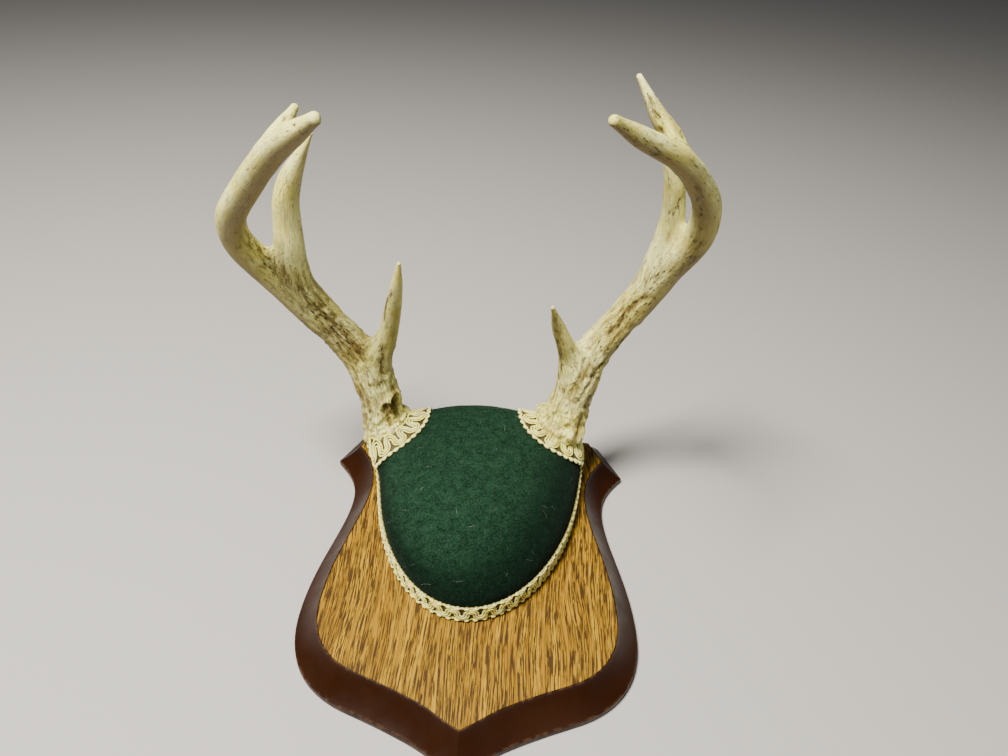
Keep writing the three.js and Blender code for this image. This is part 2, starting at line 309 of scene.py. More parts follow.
# ------------------------------------------------------------------ shader helpers
class Graph:
    """A small helper that places and links shader nodes in a material or a node group."""

    def __init__(self, tree: NodeTree) -> None:
        """Works on an empty or a fresh node tree."""
        self.tree = tree

    def node(self, kind: str, **settings: object) -> Node:
        """Adds a node.

        Args:
            kind: Blender's name of the node type.
            settings: Those named in_X fill the input X, and the others set properties.

        Returns:
            The node.
        """
        made = self.tree.nodes.new(kind)
        for key, value in settings.items():
            if key.startswith("in_"):
                name = key[3:]
                self.fill(made.inputs[int(name) if name.isdigit() else name.replace("_", " ")], value)
            else:
                setattr(made, key, value)
        return made

    def fill(self, socket: Socket, value: Feed) -> None:
        """Links another node's output into a socket, or writes a plain value there.

        Args:
            socket: The input to fill.
            value: Another node's output, or a plain value.
        """
        if isinstance(value, Socket):
            self.tree.links.new(value, socket)
        else:
            socket.default_value = value

    def feed(self, node: Node, **inputs: Feed) -> None:
        """Fills several inputs of a node, whose names have underscores here for spaces."""
        for name, value in inputs.items():
            self.fill(node.inputs[name.replace("_", " ")], value)

    def scaled(self, vector: Feed, scale: Triple) -> Socket:
        """A vector multiplied by a scale."""
        return self.node("ShaderNodeMapping", in_Vector=vector, in_Scale=scale).outputs[0]

    def place(self, scale: Triple, attribute: str = "") -> Socket:
        """Object coordinates, or a stored vector, multiplied by a scale.

        Args:
            scale: Factor for each axis.
            attribute: Name of the vector that the piece's points store; object coordinates if empty.

        Returns:
            The scaled vector.
        """
        if attribute:
            source = self.node("ShaderNodeAttribute", attribute_name=attribute).outputs["Vector"]
        else:
            source = self.node("ShaderNodeTexCoord").outputs["Object"]
        return self.scaled(source, scale)

    def number(self, attribute: str) -> Socket:
        """A number stored on the points of the piece."""
        return self.node("ShaderNodeAttribute", attribute_name=attribute).outputs["Fac"]

    def grain(self, vector: Feed, scale: Feed, detail: float = 3.0, rough: float = 0.55) -> Socket:
        """A noise texture's value."""
        inputs = {"in_Vector": vector, "in_Scale": scale, "in_Detail": detail, "in_Roughness": rough}
        return self.node("ShaderNodeTexNoise", **inputs).outputs[0]

    def ramp(self, value: Feed, low: float, high: float, start: float = 0.0, end: float = 1.0) -> Socket:
        """Eased change from `start` to `end` while the value goes from `low` to `high`."""
        inputs = {f"in_{index}": given for index, given in enumerate((value, low, high, start, end))}
        return self.node("ShaderNodeMapRange", interpolation_type="SMOOTHSTEP", **inputs).outputs[0]

    def maths(self, operation: str, a: Feed, b: Feed = 0.5) -> Socket:
        """One step of arithmetic."""
        return self.node("ShaderNodeMath", operation=operation, in_0=a, in_1=b).outputs[0]

    def plus(self, a: Feed, b: Feed) -> Socket:
        """Sum of two numbers."""
        return self.maths("ADD", a, b)

    def minus(self, a: Feed, b: Feed) -> Socket:
        """The first number less the second."""
        return self.maths("SUBTRACT", a, b)

    def times(self, a: Feed, b: Feed) -> Socket:
        """Product of two numbers."""
        return self.maths("MULTIPLY", a, b)

    def larger(self, a: Feed, b: Feed) -> Socket:
        """The larger of two numbers."""
        return self.maths("MAXIMUM", a, b)

    def mix(self, share: Feed, a: Feed, b: Feed) -> Socket:
        """Two colours mixed, with a share of the second."""
        return self.node("ShaderNodeMix", data_type="RGBA", in_0=share, in_6=a, in_7=b).outputs[2]

    def bump(self, height: Feed, distance: float, strength: float) -> Socket:
        """A normal tilted by a height, of which 1 counts as a distance in millimetres."""
        inputs = {"in_Height": height, "in_Distance": distance * MM, "in_Strength": strength}
        return self.node("ShaderNodeBump", **inputs).outputs[0]


def rgb(red: float, green: float, blue: float) -> Colour:
    """A linear colour with full cover."""
    return (red, green, blue, 1.0)


def new_group(
    name: str, inputs: Iterable[tuple[str, str, object]], outputs: Iterable[tuple[str, str]]
) -> tuple[NodeTree, Graph, Node, Node]:
    """An empty shader node group with named sockets.

    Args:
        name: Name of the group.
        inputs: Name, socket type and default value of each input.
        outputs: Name and socket type of each output.

    Returns:
        The group, its graph helper, its input node and its output node.
    """
    tree = bpy.data.node_groups.new(name, "ShaderNodeTree")
    for label, kind, value in inputs:
        made = tree.interface.new_socket(label, in_out="INPUT", socket_type=kind)
        if value is not None:
            made.default_value = value
    for label, kind in outputs:
        tree.interface.new_socket(label, in_out="OUTPUT", socket_type=kind)
    graph = Graph(tree)
    return tree, graph, graph.node("NodeGroupInput"), graph.node("NodeGroupOutput")


class SharedEffects:
    """Node groups that several finishes use, each built once."""

    def __init__(self) -> None:
        """Builds the speck and the cloudy tone groups."""
        self.speck_group = self._specks()
        self.cloudy_group = self._cloudy()

    @staticmethod
    def _specks() -> NodeTree:
        """Small scattered specks: 1 inside a speck, 0 elsewhere."""
        tree, graph, source, sink = new_group(
            "scattered_specks",
            [
                ("Vector", "NodeSocketVector", None),
                ("Scale", "NodeSocketFloat", 400.0),
                ("Size", "NodeSocketFloat", 0.12),
                ("Share", "NodeSocketFloat", 0.3),
            ],
            [("Mask", "NodeSocketFloat")],
        )
        given = source.outputs
        cells = graph.node("ShaderNodeTexVoronoi", in_Vector=given["Vector"], in_Scale=given["Scale"])
        near = graph.maths("LESS_THAN", cells.outputs["Distance"], given["Size"])
        tint = graph.node("ShaderNodeSeparateColor", in_Color=cells.outputs["Color"]).outputs[0]
        chosen = graph.maths("LESS_THAN", tint, given["Share"])
        graph.fill(sink.inputs["Mask"], graph.times(near, chosen))
        return tree

    @staticmethod
    def _cloudy() -> NodeTree:
        """Uneven tone: a colour mixed with another by broad noise."""
        tree, graph, source, sink = new_group(
            "cloudy_tone",
            [
                ("Color", "NodeSocketColor", None),
                ("Tone", "NodeSocketColor", None),
                ("Scale", "NodeSocketFloat", 20.0),
                ("Amount", "NodeSocketFloat", 0.5),
            ],
            [("Color", "NodeSocketColor")],
        )
        given = source.outputs
        where = graph.node("ShaderNodeTexCoord").outputs["Object"]
        cloud = graph.node("ShaderNodeTexNoise", in_Vector=where, in_Scale=given["Scale"], in_Detail=4.0)
        share = graph.times(graph.ramp(cloud.outputs[0], 0.4, 0.68), given["Amount"])
        graph.fill(sink.inputs["Color"], graph.mix(share, given["Color"], given["Tone"]))
        return tree

    def specks(self, graph: Graph, vector: Feed, scale: float, size: float, share: float) -> Socket:
        """Places the speck group in a material.

        Args:
            graph: The material's graph.
            vector: Where the specks lie.
            scale: How many cells go to the metre.
            size: Radius of a speck, as a share of a cell.
            share: Share of the cells that have a speck.

        Returns:
            1 inside a speck, 0 elsewhere.
        """
        made = graph.node("ShaderNodeGroup", node_tree=self.speck_group)
        graph.feed(made, Vector=vector, Scale=scale, Size=size, Share=share)
        return made.outputs["Mask"]

    def cloudy(self, graph: Graph, colour: Feed, tone: Feed, scale: float, amount: float) -> Socket:
        """Places the cloudy tone group in a material.

        Args:
            graph: The material's graph.
            colour: The first colour.
            tone: The colour mixed into it.
            scale: How many clouds go to the metre.
            amount: Largest share of the second colour.

        Returns:
            The uneven colour.
        """
        made = graph.node("ShaderNodeGroup", node_tree=self.cloudy_group)
        graph.feed(made, Color=colour, Tone=tone, Scale=scale, Amount=amount)
        return made.outputs["Color"]


def start_material(name: str) -> tuple[Material, Graph, Node]:
    """A new material.

    Args:
        name: Name of the material.

    Returns:
        The material, its graph helper and its Principled shader.
    """
    made = bpy.data.materials.new(name)
    made.use_nodes = True
    return made, Graph(made.node_tree), made.node_tree.nodes["Principled BSDF"]


# ------------------------------------------------------------------ finishes
AS_IT_IS = (1, 1, 1)


@dataclass(frozen=True)
class RimPaint:
    """Dark brown semi-gloss paint on the bevel, rubbed thin on its sharp edges."""

    base: Colour = rgb(0.017, 0.0042, 0.0005)
    paint_fade_and_painted_light: Colour = rgb(0.025, 0.0070, 0.0014)
    worn: Colour = rgb(0.09, 0.045, 0.02)
    nicked: float = 0.35
    rubbed: float = 0.55
    roughness: float = 0.38
    brush_marks: Triple = (60, 60, 400)

    def build(self, effects: SharedEffects) -> Material:
        """Makes the material.

        Args:
            effects: The shared node groups, which every finish is given.

        Returns:
            The material.
        """
        made, graph, shader = start_material("rim_paint")
        colour = effects.cloudy(graph, self.base, self.paint_fade_and_painted_light, scale=24.0, amount=0.8)
        where = graph.place(AS_IT_IS)
        nicks = effects.specks(graph, where, scale=150.0, size=0.07, share=0.12)
        wear = graph.times(graph.number("arris"), graph.ramp(graph.grain(where, 300.0), 0.42, 0.62))
        shown = graph.larger(graph.times(nicks, self.nicked), graph.times(wear, self.rubbed))
        graph.feed(shader, Base_Color=graph.mix(shown, colour, self.worn))
        rough = graph.ramp(graph.grain(where, 60.0), 0.3, 0.7, self.roughness - 0.06, self.roughness + 0.09)
        graph.feed(shader, Roughness=rough)
        brush = graph.grain(graph.place(self.brush_marks), 1.0)
        graph.feed(shader, Normal=graph.bump(brush, 0.05, 0.6), Specular_IOR_Level=0.14)
        graph.feed(shader, Coat_Weight=0.02, Coat_Roughness=0.22)
        return made


@dataclass(frozen=True)
class OakVarnish:
    """Golden oak: dark open pores in bands along Y, growth figure and a satin varnish.

    Each pattern's scale says how many waves go to the metre across the grain and along it, and
    `sway` how far the grain wanders sideways, in metres.
    """

    light: Colour = rgb(0.43, 0.243, 0.016)
    amber: Colour = rgb(0.30, 0.153, 0.009)
    pore: Colour = rgb(0.03, 0.0115, 0.0008)
    grey: Colour = rgb(0.12, 0.058, 0.010)
    sway: float = 0.028
    sway_scale: Triple = (14, 4.5, 1)
    ring_scale: Triple = (230, 9, 1)
    smudge_scale: Triple = (150, 26, 1)
    band_scale: Triple = (640, 8, 1)
    dash_scale: Triple = (1350, 62, 1)
    hair_scale: Triple = (2100, 45, 1)

    def build(self, effects: SharedEffects) -> Material:
        """Makes the material.

        Args:
            effects: The shared node groups, which every finish is given; this finish doesn't use them.

        Returns:
            The material.
        """
        made, graph, shader = start_material("oak")
        bend = graph.grain(graph.place(self.sway_scale), 1.0, 2.0)
        where = graph.node("ShaderNodeTexCoord").outputs["Object"]
        split = graph.node("ShaderNodeSeparateXYZ", in_Vector=where).outputs
        across = graph.plus(split[0], graph.times(graph.minus(bend, 0.5), self.sway))
        wood = graph.node("ShaderNodeCombineXYZ", in_0=across, in_1=split[1], in_2=0.0).outputs[0]
        figure = graph.ramp(graph.grain(graph.scaled(wood, self.ring_scale), 1.0, 2.0), 0.36, 0.62)
        colour = graph.mix(figure, self.light, self.amber)
        smudge = graph.grain(graph.scaled(wood, self.smudge_scale), 1.0, 3.0, 0.6)
        colour = graph.mix(graph.ramp(smudge, 0.56, 0.72, 0.0, 0.35), colour, self.grey)
        band = graph.grain(graph.scaled(wood, self.band_scale), 1.0, 2.0, 0.5)
        dash = graph.grain(graph.scaled(wood, self.dash_scale), 1.0, 2.0, 0.6)
        hair = graph.grain(graph.scaled(wood, self.hair_scale), 1.0, 2.0, 0.6)
        pores = graph.times(graph.ramp(band, 0.37, 0.45), graph.ramp(dash, 0.47, 0.52, 0.08, 1.0))
        pores = graph.larger(pores, graph.ramp(hair, 0.54, 0.58, 0.0, 0.8))
        colour = graph.mix(graph.times(pores, 0.95), colour, self.pore)
        graph.feed(shader, Base_Color=colour, Roughness=graph.ramp(pores, 0.0, 1.0, 0.36, 0.55))
        sunk = graph.minus(1.0, pores)
        graph.feed(shader, Normal=graph.bump(sunk, 0.12, 0.5), Specular_IOR_Level=0.3, Coat_Weight=0.1)
        graph.feed(shader, Coat_Roughness=0.3)
        return made


@dataclass(frozen=True)
class GreenFelt:
    """Matted wool felt: mottled dark green with lighter worn fibres, painted lighter and more mottled where
    it faces up and a little left, and near black green where it faces away.
    """

    deep: Colour = rgb(0.0002, 0.0045, 0.0016)
    base: Colour = rgb(0.0024, 0.0125, 0.0058)
    light: Colour = rgb(0.016, 0.046, 0.025)
    dust: Colour = rgb(0.06, 0.11, 0.07)
    sheen: Colour = rgb(0.35, 0.6, 0.48)
    fibre_scale: Triple = (900, 260, 600)

    def build(self, effects: SharedEffects) -> Material:
        """Makes the material.

        Args:
            effects: The shared node groups, which every finish is given; this finish doesn't use them.

        Returns:
            The material.
        """
        made, graph, shader = start_material("green_felt")
        where = graph.place(AS_IT_IS)
        mottle = graph.ramp(graph.grain(where, 900.0, 4.0, 0.75), 0.42, 0.60)
        matted = graph.ramp(graph.grain(where, 200.0, 4.0, 0.6), 0.35, 0.7)
        share = graph.plus(graph.times(mottle, 0.6), graph.times(matted, 0.35))
        # Painted light and shade: the deep colour where the felt faces away from the light, the base colour
        # where it faces it, with more of the light mottle on the lit side.
        paint_fade_and_painted_light = graph.number("paint_fade_and_painted_light")
        share = graph.times(share, graph.ramp(paint_fade_and_painted_light, 0.0, 1.0, 0.3, 1.1))
        colour = graph.mix(share, graph.mix(paint_fade_and_painted_light, self.deep, self.base), self.light)
        fibre = graph.grain(graph.place(self.fibre_scale), 1.0, 4.0, 0.7)
        colour = graph.mix(graph.ramp(fibre, 0.62, 0.74, 0.0, 0.35), colour, self.dust)
        graph.feed(shader, Base_Color=colour, Roughness=0.95, Sheen_Weight=0.03, Sheen_Roughness=0.5)
        graph.feed(shader, Sheen_Tint=self.sheen, Specular_IOR_Level=0.06)
        height = graph.plus(graph.grain(where, 900.0, 3.0, 0.7), graph.times(matted, 0.8))
        graph.feed(shader, Normal=graph.bump(height, 0.5, 0.8))
        return made


@dataclass(frozen=True)
class FeltFibre:
    """Loose wool fibres: green on the felt's own fuzz, pale on the lint, with painted shade where the felt
    faces away from the light.
    """

    name: str = "felt_fibre"
    tone: Colour = rgb(0.013, 0.042, 0.023)
    deepest: float = 0.15

    def build(self, effects: SharedEffects) -> Material:
        """Makes the material.

        Args:
            effects: The shared node groups, which every finish is given.

        Returns:
            The material.
        """
        made, graph, shader = start_material(self.name)
        lighter = rgb(*(min(c * 1.7, 1.0) for c in self.tone[:3]))
        fibre = effects.cloudy(graph, self.tone, lighter, 300.0, 0.7)
        # Painted shade: a darker copy of the fibre's colour, `deepest` times as bright, where the felt
        # faces away from the light.
        darker = rgb(*(c * self.deepest for c in self.tone[:3]))
        graph.feed(shader, Base_Color=graph.mix(graph.number("paint_fade_and_painted_light"), darker, fibre), Roughness=0.9)
        return made


@dataclass(frozen=True)
class GimpCord:
    """Ivory rayon cords with a fine twist and a soft shine, with painted shade on their flanks, in the
    twist's grooves and in the gaps down to the backing, and a painted highlight on the beads.

    `twist` is the length of one ply along a cord, in millimetres.
    """

    base: Colour = rgb(0.95, 0.88, 0.13)
    bright: Colour = rgb(0.99, 0.97, 0.33)
    # Painted shade colours: the first for the cords' flanks and the twist's grooves, the second, near
    # black, for the lowest parts between the cords.
    crease_shade: Colour = rgb(0.12, 0.072, 0.012)
    gap: Colour = rgb(0.022, 0.014, 0.003)
    stain: Colour = rgb(0.11, 0.055, 0.02)
    twist: float = 1.1

    def build(self, effects: SharedEffects) -> Material:
        """Makes the material.

        Args:
            effects: The shared node groups, which every finish is given; this finish doesn't use them.

        Returns:
            The material.
        """
        made, graph, shader = start_material("gimp_braid")
        where = graph.place(AS_IT_IS)
        lift = graph.number("lift")
        colour = graph.mix(graph.ramp(graph.grain(where, 160.0), 0.35, 0.65), self.base, self.bright)
        # Painted highlight: where the stored `lift` is highest, on the beads, the colour goes towards the
        # bright one.
        colour = graph.mix(graph.ramp(lift, 0.82, 0.95, 0.0, 0.8), colour, self.bright)
        turns = graph.maths("DIVIDE", graph.number("along"), self.twist)
        lay = graph.plus(turns, graph.number("around"))
        ply = graph.maths("ABSOLUTE", graph.maths("SINE", graph.times(lay, math.pi)))
        groove = graph.ramp(ply, 0.0, 0.5)
        # Painted shade: the cords' flanks and backs, where `crest` is low, and the low cords, where `lift`
        # is low, take the first shade colour, a little unevenly.
        crease = graph.ramp(graph.number("crest"), -0.05, 0.75, 1.0, 0.0)
        low = graph.larger(graph.ramp(lift, 0.15, 0.75, 0.85, 0.0), crease)
        patchy = graph.ramp(graph.grain(where, 70.0, 4.0), 0.4, 0.7, 0.7, 1.0)
        shade = graph.times(low, patchy)
        colour = graph.mix(shade, colour, self.crease_shade)
        # Painted shade in the twist's grooves between the plies.
        colour = graph.mix(graph.times(graph.minus(1.0, groove), 0.3), colour, self.crease_shade)
        # Painted shade: the lowest parts, mostly the backing between the cords, go nearly black.
        colour = graph.mix(graph.ramp(lift, 0.2, 0.55, 0.85, 0.0), colour, self.gap)
        colour = graph.mix(graph.number("stained"), colour, self.stain)
        graph.feed(shader, Base_Color=colour, Roughness=0.5, Sheen_Weight=0.2, Sheen_Roughness=0.4)
        graph.feed(shader, Normal=graph.bump(groove, 0.12, 0.7))
        return made


@dataclass(frozen=True)
class AntlerBone:
    """Dry antler: cream ridges, brown stain in the grooves and dark pits, paler towards the tips, and
    painted shade in olive on the undersides.
    """

    cream: Colour = rgb(0.86, 0.80, 0.20)
    pale: Colour = rgb(0.98, 0.965, 0.38)
    tan: Colour = rgb(0.25, 0.175, 0.028)
    brown: Colour = rgb(0.12, 0.072, 0.012)
    olive: Colour = rgb(0.125, 0.083, 0.021)
    dark: Colour = rgb(0.022, 0.012, 0.003)
    streak_scale: Triple = (1, 1, 0.13)
    smear_scale: Triple = (1, 1, 0.22)
    pore_scale: Triple = (1, 1, 0.34)

    def build(self, effects: SharedEffects) -> Material:
        """Makes the material, which reads the values that `Antler` stores along the bone.

        Args:
            effects: The shared node groups, which every finish is given; this finish doesn't use them.

        Returns:
            The material.
        """
        made, graph, shader = start_material("antler")
        where = graph.place(AS_IT_IS)
        groove, stain, dirt_and_shade = graph.number("groove"), graph.number("stain"), graph.number("dirt_and_shade")
        streak = graph.grain(graph.place(self.streak_scale, "bone_place"), 13.0, 5.0, 0.68)
        streak = graph.ramp(streak, 0.42, 0.62)
        cloud = graph.ramp(graph.grain(where, 45.0, 4.0), 0.38, 0.62)
        colour = graph.mix(cloud, self.cream, self.pale)
        # Painted shade: where the skin faces down the colour goes most of the way to olive.
        colour = graph.mix(graph.times(graph.number("under"), 0.95), colour, self.olive)
        tanned = graph.times(graph.larger(groove, graph.times(streak, 0.6)), stain)
        colour = graph.mix(tanned, colour, self.tan)
        smear = graph.grain(graph.place(self.smear_scale, "bone_place"), 4.5, 5.0, 0.65)
        smear = graph.plus(smear, graph.times(dirt_and_shade, 0.24))
        smear = graph.plus(smear, graph.times(stain, 0.06))
        colour = graph.mix(graph.ramp(smear, 0.54, 0.86, 0.0, 0.9), colour, self.brown)
        fine = graph.grain(graph.place(self.pore_scale, "bone_place"), 9.0, 4.0, 0.7)
        pores = graph.plus(fine, graph.times(dirt_and_shade, 0.085))
        pores = graph.plus(pores, graph.times(stain, 0.06))
        pores = graph.ramp(pores, 0.63, 0.70, 0.0, 0.88)
        sunk = graph.number("hollow")
        colour = graph.mix(graph.ramp(sunk, 0.15, 0.6, 0.0, 0.8), colour, self.brown)
        sunk = graph.ramp(graph.plus(sunk, fine), 1.2, 1.6)
        black = graph.larger(pores, sunk)
        colour = graph.mix(black, colour, self.dark)
        graph.feed(shader, Base_Color=colour, Roughness=graph.ramp(stain, 0.0, 1.0, 0.5, 0.64))
        graph.feed(shader, Specular_IOR_Level=0.35)
        height = graph.minus(graph.times(streak, -0.4), black)
        graph.feed(shader, Normal=graph.bump(height, 0.4, 0.9))
        return made


# ------------------------------------------------------------------ plaque
@dataclass(frozen=True)
class Stop:
    """A point of the shield's outline with the reach of the curve before and after it."""

    at: tuple[float, float]
    before: tuple[float, float]
    after: tuple[float, float]

    def moved_in(self, distance: float) -> Array:
        """The point moved inwards on its mitre line.

        Args:
            distance: How far inside the outline.

        Returns:
            The point (2,).
        """
        arrive = unit(-np.array(self.before))
        leave = unit(np.array(self.after))
        inward = np.array([-arrive[1] - leave[1], arrive[0] + leave[0]])
        return np.array(self.at) + inward * distance / (1 + arrive @ leave)


@dataclass
class Plaque:
    """The shield: one board with a painted, slightly hollow bevel round an oak face.

    The shoulder's rounding is gone at `rounding_ends` inside the rim's width, the rim starts
    `back_inset` inside the outline at the back, and flat areas shrink towards `middle`.
    """

    thickness: float = 18.0
    edge_height: float = 3.8
    rim_width: float = 13.5
    cove: float = 0.7
    shoulder_rounding: float = 6.0
    rounding_ends: float = 1.2
    back_inset: float = 1.2
    middle: tuple[float, float] = (0.0, -10.0)
    steps: int = 30
    ear_steps: int = 12
    top_steps: int = 24
    stops: tuple[Stop, ...] = (
        Stop((0, -130), (-17.7, 8.6), (17.7, 8.6)),
        Stop((61.7, -99.3), (-52.2, -20), (20, 7.7)),
        Stop((100, -41.2), (0, -34.9), (0, 38.8)),
        Stop((86.5, 55.2), (0, -28.2), (0, 20.6)),
        Stop((104, 95), (-6.2, -7.9), (-5.5, 11.8)),
    )
    shoulder: Stop = Stop((87.5, 130), (5.5, -11.8), (-30, 0))

    def outline(self, distance: float) -> Array:
        """The outline drawn inside the edge by a distance, anticlockwise from the tip.

        Cubic curves join the stops; their handles shrink with their chord, and a parabola
        rounds the shoulder.

        Args:
            distance: How far inside the edge.

        Returns:
            Points (n, 2).
        """
        t = np.linspace(0, 1, self.steps + 1)[:-1, None]
        runs = []
        for first, second in zip(self.stops[:-1], self.stops[1:]):
            start, end = first.moved_in(distance), second.moved_in(distance)
            chord = np.linalg.norm(np.subtract(second.at, first.at))
            scale = np.linalg.norm(end - start) / chord
            one, two = start + np.array(first.after) * scale, end + np.array(second.before) * scale
            early = start * (1 - t) ** 3 + 3 * one * t * (1 - t) ** 2
            runs.append(early + 3 * two * t**2 * (1 - t) + end * t**3)
        corner = self.shoulder.moved_in(distance)
        rounding = self.shoulder_rounding * (1 - distance / (self.rim_width + self.rounding_ends))
        below = corner + unit(np.array(self.shoulder.before)) * rounding
        beside = corner - np.array([rounding, 0])
        ear = self.stops[-1].moved_in(distance)
        short = np.linspace(0, 1, self.ear_steps + 1)[:-1, None]
        runs.append(ear + (below - ear) * short)
        runs.append(below * (1 - short) ** 2 + 2 * corner * short * (1 - short) + beside * short**2)
        top = np.linspace(0, 1, self.top_steps + 1)[:, None]
        runs.append(beside + (np.array([0, beside[1]]) - beside) * top)
        right = np.vstack(runs)
        left = right[1:-1][::-1] * np.array([-1, 1])
        return np.vstack([right, left])

    def _ring(self, distance: float, height: float) -> Array:
        """The outline inside the edge by a distance, at a height."""
        flat = self.outline(distance)
        return np.column_stack([flat, np.full(len(flat), height)])

    def _filled(self, distance: float, shrink: Array, height: Array) -> Surface:
        """An area inside the outline, as rings of it that shrink towards the middle.

        Args:
            distance: How far inside the edge the area ends.
            shrink: Size of each ring, where 1 is the area's edge.
            height: Height of each ring.

        Returns:
            The surface, facing up.
        """
        edge = self.outline(distance)
        middle = np.array(self.middle)
        flat = middle + (edge[None] - middle) * shrink[:, None, None]
        points = np.concatenate([flat, np.broadcast_to(height[:, None, None], flat.shape[:2] + (1,))], -1)
        return Surface(points.reshape(-1, 3), grid_faces(len(shrink), len(edge), False, True))

    def rim(self) -> Surface:
        """Painted rim: back, square edge with eased corners, hollow bevel and inner lip.

        The bevel is a straight rise, moved inwards and down by 4t(1 - t) times the cove. `arris`
        is 1 on the rim's sharp edges, where its paint wears first.
        """
        t = np.linspace(0, 1, 15)
        hollow = 4 * t * (1 - t) * self.cove
        rise = self.thickness - self.edge_height
        bevel = np.column_stack([t * self.rim_width + hollow, self.edge_height + t * rise - hollow])
        bevel[0] += [0.12, 0.12]
        bevel[-1] += [-0.35, -0.06]
        lip, top = self.rim_width, self.thickness
        profile = [[self.back_inset, 0.0], [0.5, 0.0], [0.12, 0.15], [0.0, 0.6]]
        profile += [[0.0, self.edge_height - 0.45], *bevel.tolist()]
        profile += [[lip - 0.1, top], [lip + 0.15, top - 0.05], [lip + 0.25, top - 0.6]]
        profile += [[lip + 0.25, 12.0], [lip + 0.25, 2.0]]
        rings = [self._ring(inwards, height) for inwards, height in profile]
        count = len(rings[0])
        worn = np.array([0, 0, 0.3, 0.6, 0.9, 1.0] + [0.0] * 13 + [0.9, 1.0, 1.0, 0.3, 0, 0])
        faces = grid_faces(len(rings), count, False, True)
        return Surface(np.vstack(rings), faces, {"arris": np.repeat(worn, count)})

    def face(self) -> Surface:
        """Oak face, flat on top, with a thin upright edge just inside the rim's lip."""
        shrink = np.concatenate([[1.0, 1.0, 0.9985], np.linspace(0.985, 0.0, 14)])
        height = np.full(len(shrink), self.thickness)
        height[:2] -= [1.15, 0.12]
        return self._filled(self.rim_width + 0.35, shrink, height)

    def back(self) -> Surface:
        """Flat back of the board, closed under the rim and the oak."""
        made = self._filled(self.back_inset, np.array([1.0, 0.6, 0.25, 0.0]), np.zeros(4))
        made.faces = made.faces[:, ::-1]
        made.values["arris"] = np.zeros(len(made.points))
        return made

    def build(self, paint: Material, oak: Material) -> list[Piece]:
        """Makes the rim with its back, and the oak face.

        Args:
            paint: The rim's finish.
            oak: The face's finish.

        Returns:
            Both pieces.
        """
        board = self.rim().joined(self.back())
        painted = make_piece("plaque_rim", board, paint, ["plaque_body"])
        faced = make_piece("plaque_oak", self.face(), oak, ["plaque_face"])
        for piece in (painted, faced):
            piece.data.set_sharp_from_angle(angle=math.radians(24))
        return [painted, faced]


# ------------------------------------------------------------------ felt dome
@dataclass(frozen=True)
class Swell:
    """Where the felt is pushed out over the foot of an antler."""

    at: Triple
    along: Triple
    height: float
    reach: float = 19.0


